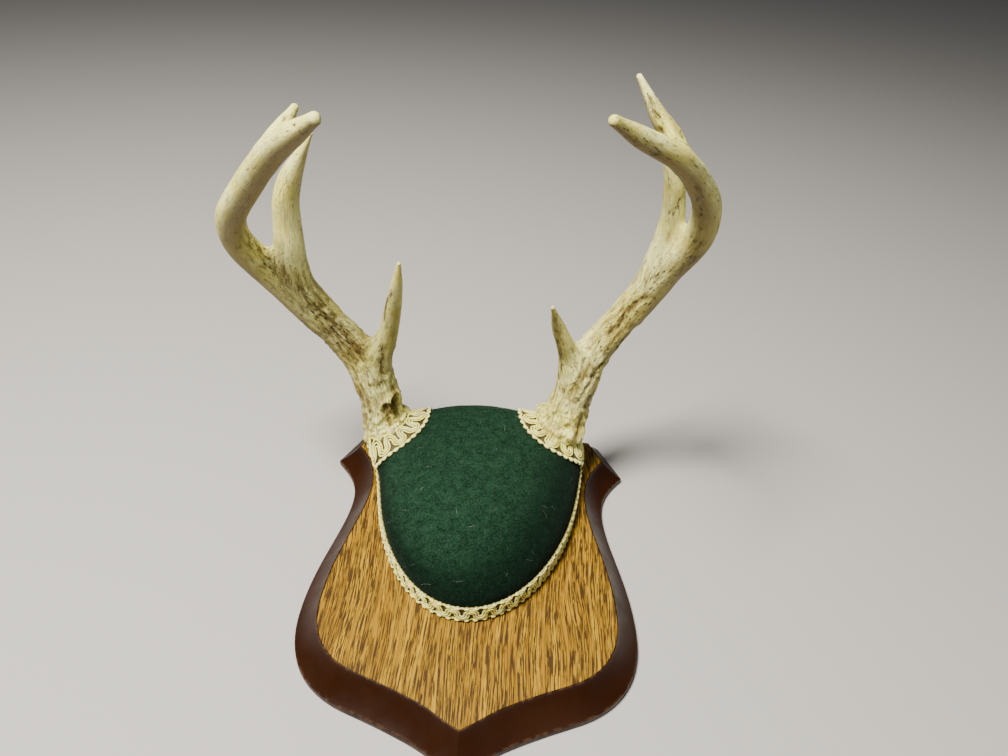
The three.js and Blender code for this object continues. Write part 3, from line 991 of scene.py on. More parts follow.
@dataclass
class FeltDome:
    """Felt pulled over the skull plate: an egg-shaped dome on a short upright skirt."""

    middle: tuple[float, float] = (0.2, 84.0)
    front: float = 133.0
    back: float = 28.0
    half: float = 67.7
    skirt: float = 13.0
    rise: float = 34.3
    lean: float = 3.0
    bottom: float = 18.3
    swells: tuple[Swell, ...] = (
        Swell((-66, 78, 40), (-0.88, -0.1, 0.47), 12.0),
        Swell((62, 82, 44), (0.7, -0.1, 0.7), 4.0),
    )

    def point(self, turn: Array, lift: Array, grow: float = 0.0) -> Array:
        """Points of the dome's surface.

        Each quarter of the dome is an ellipsoid over an elliptic foot: x and y follow cos(lift),
        the height follows sin(lift). A negative lift runs down the upright skirt. The front
        leans sideways with the square of its distance, and each swell adds a bell curve.

        Args:
            turn: Angle round the foot from +X through +Y.
            lift: Angle up from the skirt's top, or share of the skirt below it, negated.
            grow: Distance outwards from the felt.

        Returns:
            Points of the same shape with a last axis of three.
        """
        reach = np.where(np.sin(turn) < 0, self.front, self.back)
        shrink = np.cos(np.maximum(lift, 0))
        x = (self.half + grow) * np.cos(turn) * shrink
        y = (reach + grow) * np.sin(turn) * shrink
        z = self.skirt * (1 + np.minimum(lift, 0)) + (self.rise + grow) * np.sin(np.maximum(lift, 0))
        lean = self.lean * np.minimum(y / self.front, 0) ** 2
        points = np.stack([self.middle[0] + x - lean, self.middle[1] + y, self.bottom + z], -1)
        rooted = np.minimum(z / self.skirt, 1.0)[..., None]
        for swell in self.swells:
            away = np.linalg.norm(points - np.array(swell.at), axis=-1, keepdims=True) / swell.reach
            points = points + rooted * swell.height * np.exp(-(away**2)) * np.array(swell.along)
        return points

    def normal(self, turn: Array, lift: Array) -> Array:
        """Outward direction, from the cross product of two short steps on the surface.

        Args:
            turn: Angle round the foot.
            lift: Angle up from the skirt's top, as in `point`.

        Returns:
            Directions of the same shape with a last axis of three.
        """
        step = 1e-3
        here = self.point(turn, lift)
        round_it, up_it = self.point(turn + step, lift) - here, self.point(turn, lift + step) - here
        return unit(np.cross(round_it, up_it))

    @staticmethod
    def paint_fade_and_painted_light(normals: Array) -> Array:
        """How much painted light the felt takes: most where it faces up and a little left, none where it
        faces well away.
        """
        return smoothstep(0.42, 0.93, normals @ np.array([-0.25, 0.35, 0.9]))

    def surface(self) -> Surface:
        """The felt itself, with a slightly uneven surface and a turned-in foot."""
        turn = np.linspace(0, 2 * np.pi, 361)[:-1]
        skirt, cap = np.linspace(-0.96, -0.1, 8), np.linspace(0, 0.5 * np.pi, 76)
        lift = np.concatenate([[-1.0, -1.0], skirt, cap])
        turns, lifts = np.meshgrid(turn, lift)
        points = self.point(turns, lifts)
        lumps = layered_noise(points.reshape(-1, 3) / 22.0, 5).reshape(turns.shape)
        outward = np.nan_to_num(self.normal(turns, np.minimum(lifts, 0.5 * np.pi - 0.02)))
        easing = smoothstep(-1.0, -0.6, lifts)
        points += outward * (0.35 * lumps * easing)[..., None]
        points[0] = points[1] * 0.995 + np.array([0.001, 0.42, 0.0])
        points[-1] = points[-1].mean(axis=0)
        floor = points[0].mean(axis=0)
        points = np.concatenate([np.broadcast_to(floor, points[:1].shape), points])
        # Painted light: each point stores the share by which the felt is painted lighter there.
        paint_fade_and_painted_light = self.paint_fade_and_painted_light(np.concatenate([outward[:1], outward]).reshape(-1, 3))
        faces = grid_faces(len(lift) + 1, len(turn), False, True)
        return Surface(points.reshape(-1, 3), faces, {"paint_fade_and_painted_light": paint_fade_and_painted_light})

    def fibres(
        self, count: int, seed: int, length: tuple[float, float], width: float, low: float
    ) -> Surface:
        """Loose fibres that lie on the felt or stand a little off it, each a curved hair.

        Args:
            count: How many.
            seed: Chooses their places.
            length: Shortest and longest.
            width: Radius of a fibre.
            low: Least lift angle at which one grows.

        Returns:
            The fibres as one surface.
        """
        rng = np.random.default_rng(seed)
        turn = rng.uniform(-np.pi, np.pi, count)
        lift = np.arcsin(rng.uniform(math.sin(low), 1.0, count))
        out = self.normal(turn, np.minimum(lift, 1.5))
        loose = unit(np.cross(out, rng.normal(size=(count, 3))))
        curl = unit(np.cross(out, loose)) * rng.uniform(-0.5, 0.5, (count, 1))
        reach = rng.uniform(*length, (count, 1))
        stand = rng.uniform(0.1, 0.55, (count, 1))
        t = np.linspace(0, 1, 4)[None, :, None]
        root = self.point(turn, lift, 0.0)
        line = root[:, None] + reach[:, None] * (
            loose[:, None] * t + curl[:, None] * t**2 + (out * stand)[:, None] * t * (1.3 - t)
        )
        normals = np.broadcast_to(out[:, None], line.shape)
        made = tubes(line, normals, np.full(line.shape[:2], width), 3, False)
        # Each fibre carries the felt's painted light where it grows.
        made.values["paint_fade_and_painted_light"] = np.repeat(self.paint_fade_and_painted_light(out), len(made.points) // count)
        return made

    def build(self, felt: Material, fuzz: Material, lint: Material) -> list[Piece]:
        """Makes the felt, its fuzz and the lint on it.

        Args:
            felt: The cloth's finish.
            fuzz: The finish of its own loose fibres.
            lint: The finish of the pale fibres on it.

        Returns:
            The three pieces.
        """
        cover = make_piece("felt_cover_cloth", self.surface(), felt, ["felt_cover"])
        hair = self.fibres(count=9000, seed=11, length=(0.8, 2.4), width=0.03, low=0.02)
        fluff = make_piece("felt_fuzz", hair, fuzz, [])
        strands = self.fibres(count=60, seed=23, length=(1.5, 7.0), width=0.035, low=0.05)
        bits = make_piece("felt_lint", strands, lint, [])
        return [cover, fluff, bits]


# ------------------------------------------------------------------ gimp braid
@dataclass
class Ribbon:
    """A closed band on the felt: a grid of points and outward directions that cords follow."""

    points: Array
    normals: Array

    def length(self) -> float:
        """Length of the band's middle line."""
        middle = self.points[:, self.points.shape[1] // 2]
        return float(np.linalg.norm(np.roll(middle, -1, 0) - middle, axis=1).sum())

    def place(self, along: Array, across: Array, height: Array) -> tuple[Array, Array]:
        """Points over the band, and the outward directions there.

        Args:
            along: Share of the way round, which wraps.
            across: Share of the width, from 0 to 1.
            height: Distance outwards.

        Returns:
            Points and directions, read from the grid by bilinear weights.
        """
        rows, columns, _ = self.points.shape
        u = (along % 1.0) * rows
        v = np.clip(across, 0.0, 1.0) * (columns - 1)
        i, j = u.astype(int) % rows, np.minimum(v.astype(int), columns - 2)
        fu, fv = (u - np.floor(u))[..., None], (v - j)[..., None]
        k = (i + 1) % rows

        def read(grid: Array) -> Array:
            """Bilinear reading of a grid.

            Args:
                grid: Values on the band's points.

            Returns:
                The values at the places asked for.
            """
            near = grid[i, j] * (1 - fv) + grid[i, j + 1] * fv
            far = grid[k, j] * (1 - fv) + grid[k, j + 1] * fv
            return near * (1 - fu) + far * fu

        out = unit(read(self.normals))
        beyond = (across - np.clip(across, 0.0, 1.0))[..., None]
        width = read(np.broadcast_to((self.points[:, -1] - self.points[:, 0])[:, None], self.points.shape))
        return read(self.points) + width * beyond + out * height[..., None], out


@dataclass
class GimpBraid:
    """Scroll gimp: three cords side by side that wind in round scrolls, with beaded edges.

    Places across it are measured from its lower or inner edge, and `beads` go to each scroll.
    The scrolls' cords have `scroll_steps` points to a half scroll, and the edges' `bead_steps`
    points to a bead.
    """

    width: float = 12.4
    inner_edge: float = 1.7
    outer_edge: float = 1.7
    period: float = 11.2
    strand_pitch: float = 1.36
    strand_radius: float = 0.66
    bead_radius: float = 0.95
    notch_radius: float = 0.45
    base_height: float = 0.3
    beads: int = 2
    scroll_steps: int = 15
    bead_steps: int = 14
    cord_sides: int = 8

    def repeats(self, ribbon: Ribbon) -> int:
        """How many whole scrolls go round a ribbon."""
        return max(round(ribbon.length() / self.period), 3)

    def scroll(self, ribbon: Ribbon, shift: float) -> Surface:
        """The winding cords.

        The middle line of each half scroll is a run up from the braid's middle, a half circle
        a quarter of a scroll in radius, and a run down again; every second one is mirrored.
        The outer two cords are offset square to it.

        Args:
            ribbon: The band that the cords follow.
            shift: Where the first scroll starts.

        Returns:
            The three cords.
        """
        length = ribbon.length()
        halves = self.repeats(ribbon) * 2
        half = length / halves
        radius = half / 2
        bundle = self.strand_pitch + self.strand_radius
        low, high = self.inner_edge, self.width - self.outer_edge
        run = max((high - low) / 2 - bundle - radius, 0.05)
        s = np.arange(self.scroll_steps) / self.scroll_steps * (2 * run + math.pi * radius)
        angle = np.clip((s - run) / radius, 0, math.pi)
        x = radius - radius * np.cos(angle)
        y = np.where(s < run, s, run + radius * np.sin(angle))
        y = np.where(angle >= math.pi, 2 * run + math.pi * radius - s, y)
        sign = np.where(np.arange(halves) % 2 == 0, 1.0, -1.0)[:, None]
        along = (np.arange(halves)[:, None] * half + x[None]).reshape(-1)
        across = (sign * y[None]).reshape(-1)
        ahead = np.stack([np.roll(line, -1) - np.roll(line, 1) for line in (along, across)], -1)
        ahead[0, 0] += length
        ahead[-1, 0] += length
        square = unit(np.stack([-ahead[:, 1], ahead[:, 0]], -1))
        offset = (np.arange(3) - 1)[:, None] * self.strand_pitch
        line_across = across + offset * square[:, 1]
        line_along = along + offset * square[:, 0] + shift
        place = np.stack([along / 9.0, 0 * along, 0 * along], -1)
        wobble = layered_noise(place, 3 + int(length), 2)
        arch = 0.25 * np.abs(across) / (run + radius)
        lift = self.base_height + 0.85 + arch + 0.15 * wobble + np.array([[-0.12], [0.12], [-0.12]])
        middle = (low + high) / 2
        lines, out = ribbon.place(line_along / length, (line_across + middle) / self.width, lift)
        made = tubes(lines, out, np.full(lines.shape[:2], self.strand_radius), self.cord_sides, True)
        made.values["lift"] = np.full(len(made.points), 0.8)
        return made

    def edges(self, ribbon: Ribbon, shift: float) -> Surface:
        """Beaded edge cords, and a thin cord that ties each of them to the scrolls.

        The edge's cord swings outwards at each bead by the cosine of its place along the edge.
        A bead is 1.4 times as long as it is thick: radius * sqrt(1 - (distance / half length)^2).

        Args:
            ribbon: The band that the cords follow.
            shift: Where the first bead lies.

        Returns:
            The two edge cords and the two thin ones.
        """
        length = ribbon.length()
        beads = self.repeats(ribbon) * self.beads
        u = np.arange(beads * self.bead_steps) / self.bead_steps
        swing = np.cos(2 * np.pi * u)
        away = ((u + 0.5) % 1.0 - 0.5) * length / beads / (1.4 * self.bead_radius)
        swell = np.sqrt(np.clip(1 - away**2, 0, 1))
        level = self.base_height + 0.1
        # Painted light and shade: the edge cords store a high `lift` on the beads, which their finish
        # paints bright, and a low one at the notches, which it paints shaded.
        bead_light_and_shade = 0.5 + 0.45 * np.minimum(2.2 * swell, 1)
        place = (u / beads + shift / length)[None]
        made = None
        for side in (-1, 1):
            rim = 0.0 if side < 0 else self.width
            zone = self.inner_edge if side < 0 else self.outer_edge
            outward = -side * (self.bead_radius + 0.1 - 0.42 * (swing - 1) * min(zone / 1.7, 1.5))
            radius = np.maximum(self.notch_radius, self.bead_radius * swell)
            tie = -side * (zone + 0.05 + 0.35 * swing)
            # The tie cords store a `lift` of 0.6, which the finish paints a little shaded.
            for across, radii, height, tone in (
                (rim + outward, radius, level + 0.5 * swell, bead_light_and_shade),
                (rim + tie, np.full(len(u), 0.55), np.full(len(u), level), np.full(len(u), 0.6)),
            ):
                lines, out = ribbon.place(place, (across / self.width)[None], height[None])
                cord = tubes(lines, out, radii[None], self.cord_sides, True)
                cord.values["lift"] = np.repeat(tone, self.cord_sides)
                made = cord if made is None else made.joined(cord)
        return made

    def backing(self, ribbon: Ribbon) -> Surface:
        """Thin woven strip behind the cords, with rounded edges.

        Args:
            ribbon: The band that it lies on.

        Returns:
            The strip.
        """
        rows = ribbon.points.shape[0]
        low, high = (self.inner_edge + 0.3) / self.width, 1 - (self.outer_edge + 0.3) / self.width
        across = np.array([low + 0.01, low, low + 0.02, 0.5, high - 0.02, high, high - 0.01])
        height = np.array([0.02, 0.15, 0.28, 0.3, 0.28, 0.15, 0.02])
        size = (rows, len(across))
        along = np.broadcast_to(np.arange(rows)[:, None] / rows, size)
        points, _ = ribbon.place(along, np.broadcast_to(across, size), np.broadcast_to(height, size))
        # Painted shade: the backing stores a low `lift` and `crest`, which the cords' finish paints nearly
        # black.
        values = {"along": 0.0, "around": 0.0, "crest": 0.25, "lift": 0.2}
        values = {key: np.full(rows * len(across), value) for key, value in values.items()}
        return Surface(points.reshape(-1, 3), grid_faces(*size, True, True)[:, ::-1], values)

    def build(
        self,
        name: str,
        ribbon: Ribbon,
        material: Material,
        node: str,
        shift: float,
        stains: Sequence[tuple[float, float, float, float]] = (),
    ) -> Piece:
        """Makes one braid.

        Args:
            name: Name of the piece.
            ribbon: The band that it follows.
            material: The cords' finish.
            node: The CAD node that it stands for.
            shift: Where the first scroll starts, in millimetres.
            stains: Brown stains, each x, y, z and reach.

        Returns:
            The braid as one object.
        """
        made = self.scroll(ribbon, shift).joined(self.edges(ribbon, shift)).joined(self.backing(ribbon))
        stained = np.zeros(len(made.points))
        for x, y, z, reach in stains:
            near = np.exp(-(np.linalg.norm(made.points - np.array([x, y, z]), axis=1) / reach) ** 2)
            stained = np.maximum(stained, near * (0.75 + 0.5 * layered_noise(made.points / 1.2, 9)))
        made.values["stained"] = np.clip(stained, 0, 1)
        return make_piece(name, made, material, [node])


@dataclass
class Trim:
    """Where the three braids lie on the dome.

    A collar climbs the antler's burr by `climb` at its inner edge, and the climb dies away over
    `climb_share` of its width.
    """

    dome: FeltDome
    foot_height: float = 12.6
    clearance: float = 0.3
    climb: float = 2.4
    climb_share: float = 0.3

    def foot_ribbon(self) -> Ribbon:
        """Upright band round the dome's skirt, with equal steps round it."""
        fine = np.linspace(0, 2 * np.pi, 4001)
        line = self.dome.point(fine, np.full(fine.shape, -0.5))
        length = np.concatenate([[0], np.cumsum(np.linalg.norm(np.diff(line, axis=0), axis=1))])
        turn = np.interp(np.arange(900) / 900 * length[-1], length, fine)
        share = np.linspace(0.01, 0.99, 5)
        turns, shares = np.meshgrid(turn, share, indexing="ij")
        lift = shares * self.foot_height / self.dome.skirt - 1.0
        points = self.dome.point(turns, lift, self.clearance)
        reach = np.where(np.sin(turns) < 0, self.dome.front, self.dome.back)
        normals = np.stack([np.cos(turns) / self.dome.half, np.sin(turns) / reach, 0 * turns], -1)
        return Ribbon(points, unit(normals))

    def collar_ribbon(
        self, centre: Array, axis: Array, inner: float, outer: float, lowest: float
    ) -> Ribbon:
        """Band round an antler's foot that lies on the felt and climbs the burr at its inner edge.

        Places at a straight distance from a centre, on each bearing round the antler's axis, are
        found on the dome by Newton steps on the dome's two angles. The band is narrowed where
        its outer edge would come down on the foot braid.

        Args:
            centre: A point on the antler's axis near the felt.
            axis: The antler's direction there.
            inner: Distance of the band's inner edge from the centre.
            outer: Distance of its outer edge.
            lowest: Least height of the band.

        Returns:
            The band, with its inner edge first.
        """
        side = unit(np.cross(axis, [0.0, 0.0, 1.0]))
        up = np.cross(side, axis)
        bearing = np.arange(360) / 360 * 2 * np.pi
        share = np.linspace(0, 1, 9)
        bearings, shares = np.meshgrid(bearing, share, indexing="ij")
        reach = inner + shares * (outer - inner)
        for pass_number in range(2):
            target = np.stack([reach * np.cos(bearings), reach * np.sin(bearings)], -1)
            turn, lift = self._drop(centre, side, up, target)
            points = self.dome.point(turn, lift, self.clearance)
            if pass_number == 0:
                over = np.clip((lowest - points[:, -1, 2]) / 18.0, 0, 0.75)
                kernel = np.hanning(25)
                wrapped = np.concatenate([over[-12:], over, over[:12]])
                over = np.convolve(wrapped, kernel / kernel.sum(), "valid")
                reach = inner + shares * (outer - inner) * (1 - over[:, None])
        normals = self.dome.normal(turn, lift)
        points[..., 2] = np.maximum(points[..., 2], lowest)
        climb = self.climb * np.exp(-((shares / self.climb_share) ** 2))
        points += climb[..., None] * unit(normals + axis)
        return Ribbon(points, normals)

    def _drop(self, centre: Array, side: Array, up: Array, target: Array) -> tuple[Array, Array]:
        """Angles of the dome's points that lie at given distances and bearings from a centre.

        Each Newton step solves the two linear equations for the two angles by Cramer's rule.

        Args:
            centre: The centre.
            side: First direction square to the antler's axis.
            up: Second direction square to it.
            target: Distances along both directions, with a last axis of two.

        Returns:
            The angle round the foot and the angle up, as `FeltDome.point` takes them.
        """
        start = centre + target[..., :1] * side + target[..., 1:] * up
        dome = self.dome
        local = start - np.array([*dome.middle, dome.bottom + dome.skirt])
        reach = np.where(local[..., 1] < 0, dome.front, dome.back)
        x, y, z = local[..., 0] / dome.half, local[..., 1] / reach, local[..., 2] / dome.rise
        turn = np.arctan2(y, x)
        lift = np.arctan2(z, np.hypot(x, y))
        step, largest = 1e-4, 0.12
        for _ in range(40):
            here = self._offset(turn, lift, centre, side, up)
            wide = (self._offset(turn + step, lift, centre, side, up) - here) / step
            tall = (self._offset(turn, lift + step, centre, side, up) - here) / step
            miss = target - here
            area = wide[..., 0] * tall[..., 1] - wide[..., 1] * tall[..., 0]
            area = np.where(np.abs(area) < 1.0, np.where(area < 0, -1.0, 1.0), area)
            more_turn = (miss[..., 0] * tall[..., 1] - miss[..., 1] * tall[..., 0]) / area
            more_lift = (wide[..., 0] * miss[..., 1] - wide[..., 1] * miss[..., 0]) / area
            turn = turn + np.clip(more_turn, -largest, largest)
            lift = np.clip(lift + np.clip(more_lift, -largest, largest), -0.98, 1.5)
        return turn, lift

    def _offset(self, turn: Array, lift: Array, centre: Array, side: Array, up: Array) -> Array:
        """Bearing of the dome's points round an axis, times their straight distance from a centre.

        Args:
            turn: Angle round the foot.
            lift: Angle up.
            centre: The centre.
            side: First direction square to the axis.
            up: Second direction square to it.

        Returns:
            The distances along both directions, with a last axis of two.
        """
        away = self.dome.point(turn, lift, self.clearance) - centre
        flat = np.stack([away @ side, away @ up], -1)
        return unit(flat) * np.linalg.norm(away, axis=-1, keepdims=True)


# ------------------------------------------------------------------ antlers
class Side(enum.Enum):
    """The two antlers, named from the viewer's side."""

    LEFT = "left"
    RIGHT = "right"


@dataclass(frozen=True)
class Tine:
    """A length of bone: its stations, each x, y, z and radius."""

    stations: tuple[tuple[float, float, float, float], ...]
    fillet: float = 9.0
    web: float = 30.0

    def chain(self, spacing: float) -> tuple[Array, Array]:
        """The smooth curve through the stations at close steps.

        Args:
            spacing: Rough distance between the steps.

        Returns:
            Centres (n, 3) and radii (n,).
        """
        table = np.array(self.stations)
        rough = np.linalg.norm(np.diff(table[:, :3], axis=0), axis=1).sum()
        shares = np.linspace(0, 1, int(rough / spacing) + 2)
        return smooth_line(table[:, :3], shares), smooth_number(table[:, 3], shares)


@dataclass
class BoneField:
    """Distances to an antler's branches on a lattice, and the skin drawn where they are zero.

    Distances are right up to `margin` outside a branch, and `far` beyond it.
    """

    low: Array
    cell: float
    counts: tuple[int, int, int]
    far: float = 10.0
    margin: float = 9.5

    def branch(self, centres: Array, radii: Array) -> Array:
        """Distance from each lattice point to a chain of tapered rounds, cut off at `far`.

        Args:
            centres: Points along the branch (n, 3).
            radii: Radius at each of them.

        Returns:
            Distances on the lattice, negative inside the branch.
        """
        values = np.full(self.counts, self.far, np.float32)
        for a, b, ra, rb in zip(centres[:-1], centres[1:], radii[:-1], radii[1:]):
            reach = max(ra, rb) + self.margin
            first = np.floor((np.minimum(a, b) - reach - self.low) / self.cell).astype(int)
            last = np.ceil((np.maximum(a, b) + reach - self.low) / self.cell).astype(int) + 1
            first, last = np.maximum(first, 0), np.minimum(last, self.counts)
            if np.any(first >= last):
                continue
            axes = [self.low[k] + np.arange(first[k], last[k]) * self.cell - a[k] for k in range(3)]
            x, y, z = axes[0][:, None, None], axes[1][None, :, None], axes[2][None, None, :]
            line = b - a
            t = np.clip((x * line[0] + y * line[1] + z * line[2]) / (line @ line), 0, 1)
            gap = np.sqrt((x - t * line[0]) ** 2 + (y - t * line[1]) ** 2 + (z - t * line[2]) ** 2)
            gap -= ra + (rb - ra) * t
            part = values[first[0]:last[0], first[1]:last[1], first[2]:last[2]]
            np.minimum(part, gap.astype(np.float32), out=part)
        return values

    def blend(self, first: Array, second: Array, reach: float, root: Array, web: float) -> Array:
        """Smaller of two distances, with a fillet between them near a root.

        Where the two differ by less than the fillet's reach r, (1 - difference / r)^2 * r / 4
        is taken off.

        Args:
            first: Distances on the lattice.
            second: Other distances on the lattice.
            reach: Size of the fillet at the root.
            root: Where the second branch starts.
            web: Distance from the root up to which the fillet keeps its size.

        Returns:
            Distances on the lattice.
        """
        x, y, z = (self.low[k] + np.arange(self.counts[k]) * self.cell - root[k] for k in range(3))
        away = np.sqrt(x[:, None, None] ** 2 + y[None, :, None] ** 2 + z[None, None, :] ** 2)
        local = np.maximum(reach * (1 - smoothstep(web, web * 1.6, away)), 0.5).astype(np.float32)
        ease = np.maximum(local - np.abs(first - second), 0.0) / local
        return np.minimum(first, second) - ease * ease * local * 0.25

    def skin(self, values: Array) -> Surface:
        """Skin by surface nets, where the distances are zero.

        There is one point in each cell that the zero level crosses, at the mean of the crossings
        on its twelve edges, and one quad round each crossed lattice edge.

        Args:
            values: Distances on the lattice.

        Returns:
            The skin, facing out.
        """
        inside = values < 0
        sizes = np.array(values.shape)
        wide, deep, tall = sizes - 1
        count = sum(
            inside[i:wide + i, j:deep + j, k:tall + k].astype(np.int8) for i, j, k in np.ndindex(2, 2, 2)
        )
        cells = np.argwhere((count > 0) & (count < 8))
        number = np.full(sizes - 1, -1, np.int64)
        number[tuple(cells.T)] = np.arange(len(cells))
        total = np.zeros((len(cells), 3))
        hits = np.zeros(len(cells))
        for axis in range(3):
            others = [k for k in range(3) if k != axis]
            for i, j in np.ndindex(2, 2):
                start = cells.copy()
                start[:, others[0]] += i
                start[:, others[1]] += j
                end = start.copy()
                end[:, axis] += 1
                va, vb = values[tuple(start.T)], values[tuple(end.T)]
                crossed = (va < 0) != (vb < 0)
                t = np.where(crossed, va / np.where(crossed, va - vb, 1.0), 0.0)
                spot = start.astype(float)
                spot[:, axis] += t
                total += spot * crossed[:, None]
                hits += crossed
        points = self.low + total / hits[:, None] * self.cell
        faces = []
        for axis in range(3):
            others = [k for k in range(3) if k != axis]
            start = [slice(None)] * 3
            end = [slice(None)] * 3
            start[axis], end[axis] = slice(0, -1), slice(1, None)
            for k in others:
                start[k] = end[k] = slice(1, -1)
            a, b = inside[tuple(start)], inside[tuple(end)]
            where = np.argwhere(a != b)
            flip = a[tuple(where.T)]
            where[:, others[0]] += 1
            where[:, others[1]] += 1
            ring = []
            for di, dj in ((0, 0), (-1, 0), (-1, -1), (0, -1)):
                spot = where.copy()
                spot[:, others[0]] += di
                spot[:, others[1]] += dj
                ring.append(number[tuple(spot.T)])
            quad = np.stack(ring, -1)
            outward = flip if axis != 1 else ~flip
            faces.append(np.where(outward[:, None], quad, quad[:, ::-1]))
        return Surface(points, np.vstack(faces))


def point_normals(surface: Surface) -> Array:
    """Outward direction at each point, from the areas of the quads round it.

    Args:
        surface: A surface of quads.

    Returns:
        Directions (n, 3).
    """
    faces, count = surface.faces, len(surface.points)
    p = surface.points[faces]
    area = np.cross(p[:, 2] - p[:, 0], p[:, 3] - p[:, 1])
    total = [sum(np.bincount(faces[:, c], area[:, k], count) for c in range(4)) for k in range(3)]
    return unit(np.stack(total, -1))


def relaxed(surface: Surface, passes: int, share: float) -> Surface:
    """Each point moved a share of the way to the mean of its neighbours, then a little more back.

    Args:
        surface: A surface of quads.
        passes: How many times there and back.
        share: How far towards the mean.

    Returns:
        The smoother surface.
    """
    points = surface.points
    ring = surface.faces
    count = len(points)
    degree = sum(np.bincount(ring[:, c], minlength=count) for c in range(4)) * 2.0
    for k in range(passes * 2):
        total = np.zeros_like(points)
        for c in range(4):
            for d in (-1, 1):
                other = points[ring[:, (c + d) % 4]]
                for axis in range(3):
                    total[:, axis] += np.bincount(ring[:, c], other[:, axis], count)
        mean = total / degree[:, None]
        points = points + (mean - points) * (share if k % 2 == 0 else -share * 1.03)
    return Surface(points, surface.faces, surface.values)


@dataclass(frozen=True)
class Mark:
    """A stain, pit or hollow on the bone along a short path.

    `dirt_and_shade` is how brown it is, which is stain on most marks and painted shade under the right
    beam's tip, `depth` how far it is pressed in, in millimetres, and `lip` how far its start is raised
    round it. A fading mark is strong at its start and gone at its end.
    """

    path: tuple[Triple, ...]
    reach: float
    dirt_and_shade: float = 1.0
    depth: float = 0.0
    lip: float = 0.0
    fading: bool = False

    def strength(self, points: Array) -> tuple[Array, Array]:
        """How much of the mark, and of its lip, each point has.

        The mark is a bell curve of the distance from its path, flat-topped if it fades; the lip
        is a bell curve round 1.35 times its reach.

        Args:
            points: The bone's points (n, 3).

        Returns:
            Both strengths (n,), from 0 to 1.
        """
        path = np.array(self.path if len(self.path) > 1 else self.path * 2)
        best = np.full(len(points), 1e9)
        along = np.zeros(len(points))
        for index, (start, end) in enumerate(zip(path[:-1], path[1:])):
            line = end - start
            t = np.clip((points - start) @ line / max(line @ line, 1e-9), 0, 1)
            gap = np.linalg.norm(points - start - t[:, None] * line, axis=1)
            along = np.where(gap < best, (index + t) / (len(path) - 1), along)
            best = np.minimum(gap, best)
        left = (1 - 0.75 * along) if self.fading else 1.0
        ring = bump_at(best, 1.35 * self.reach, 0.4 * self.reach) * (1 - smoothstep(0.0, 0.6, along))
        return np.exp(-((best / self.reach) ** (4 if self.fading else 2))) * left, ring


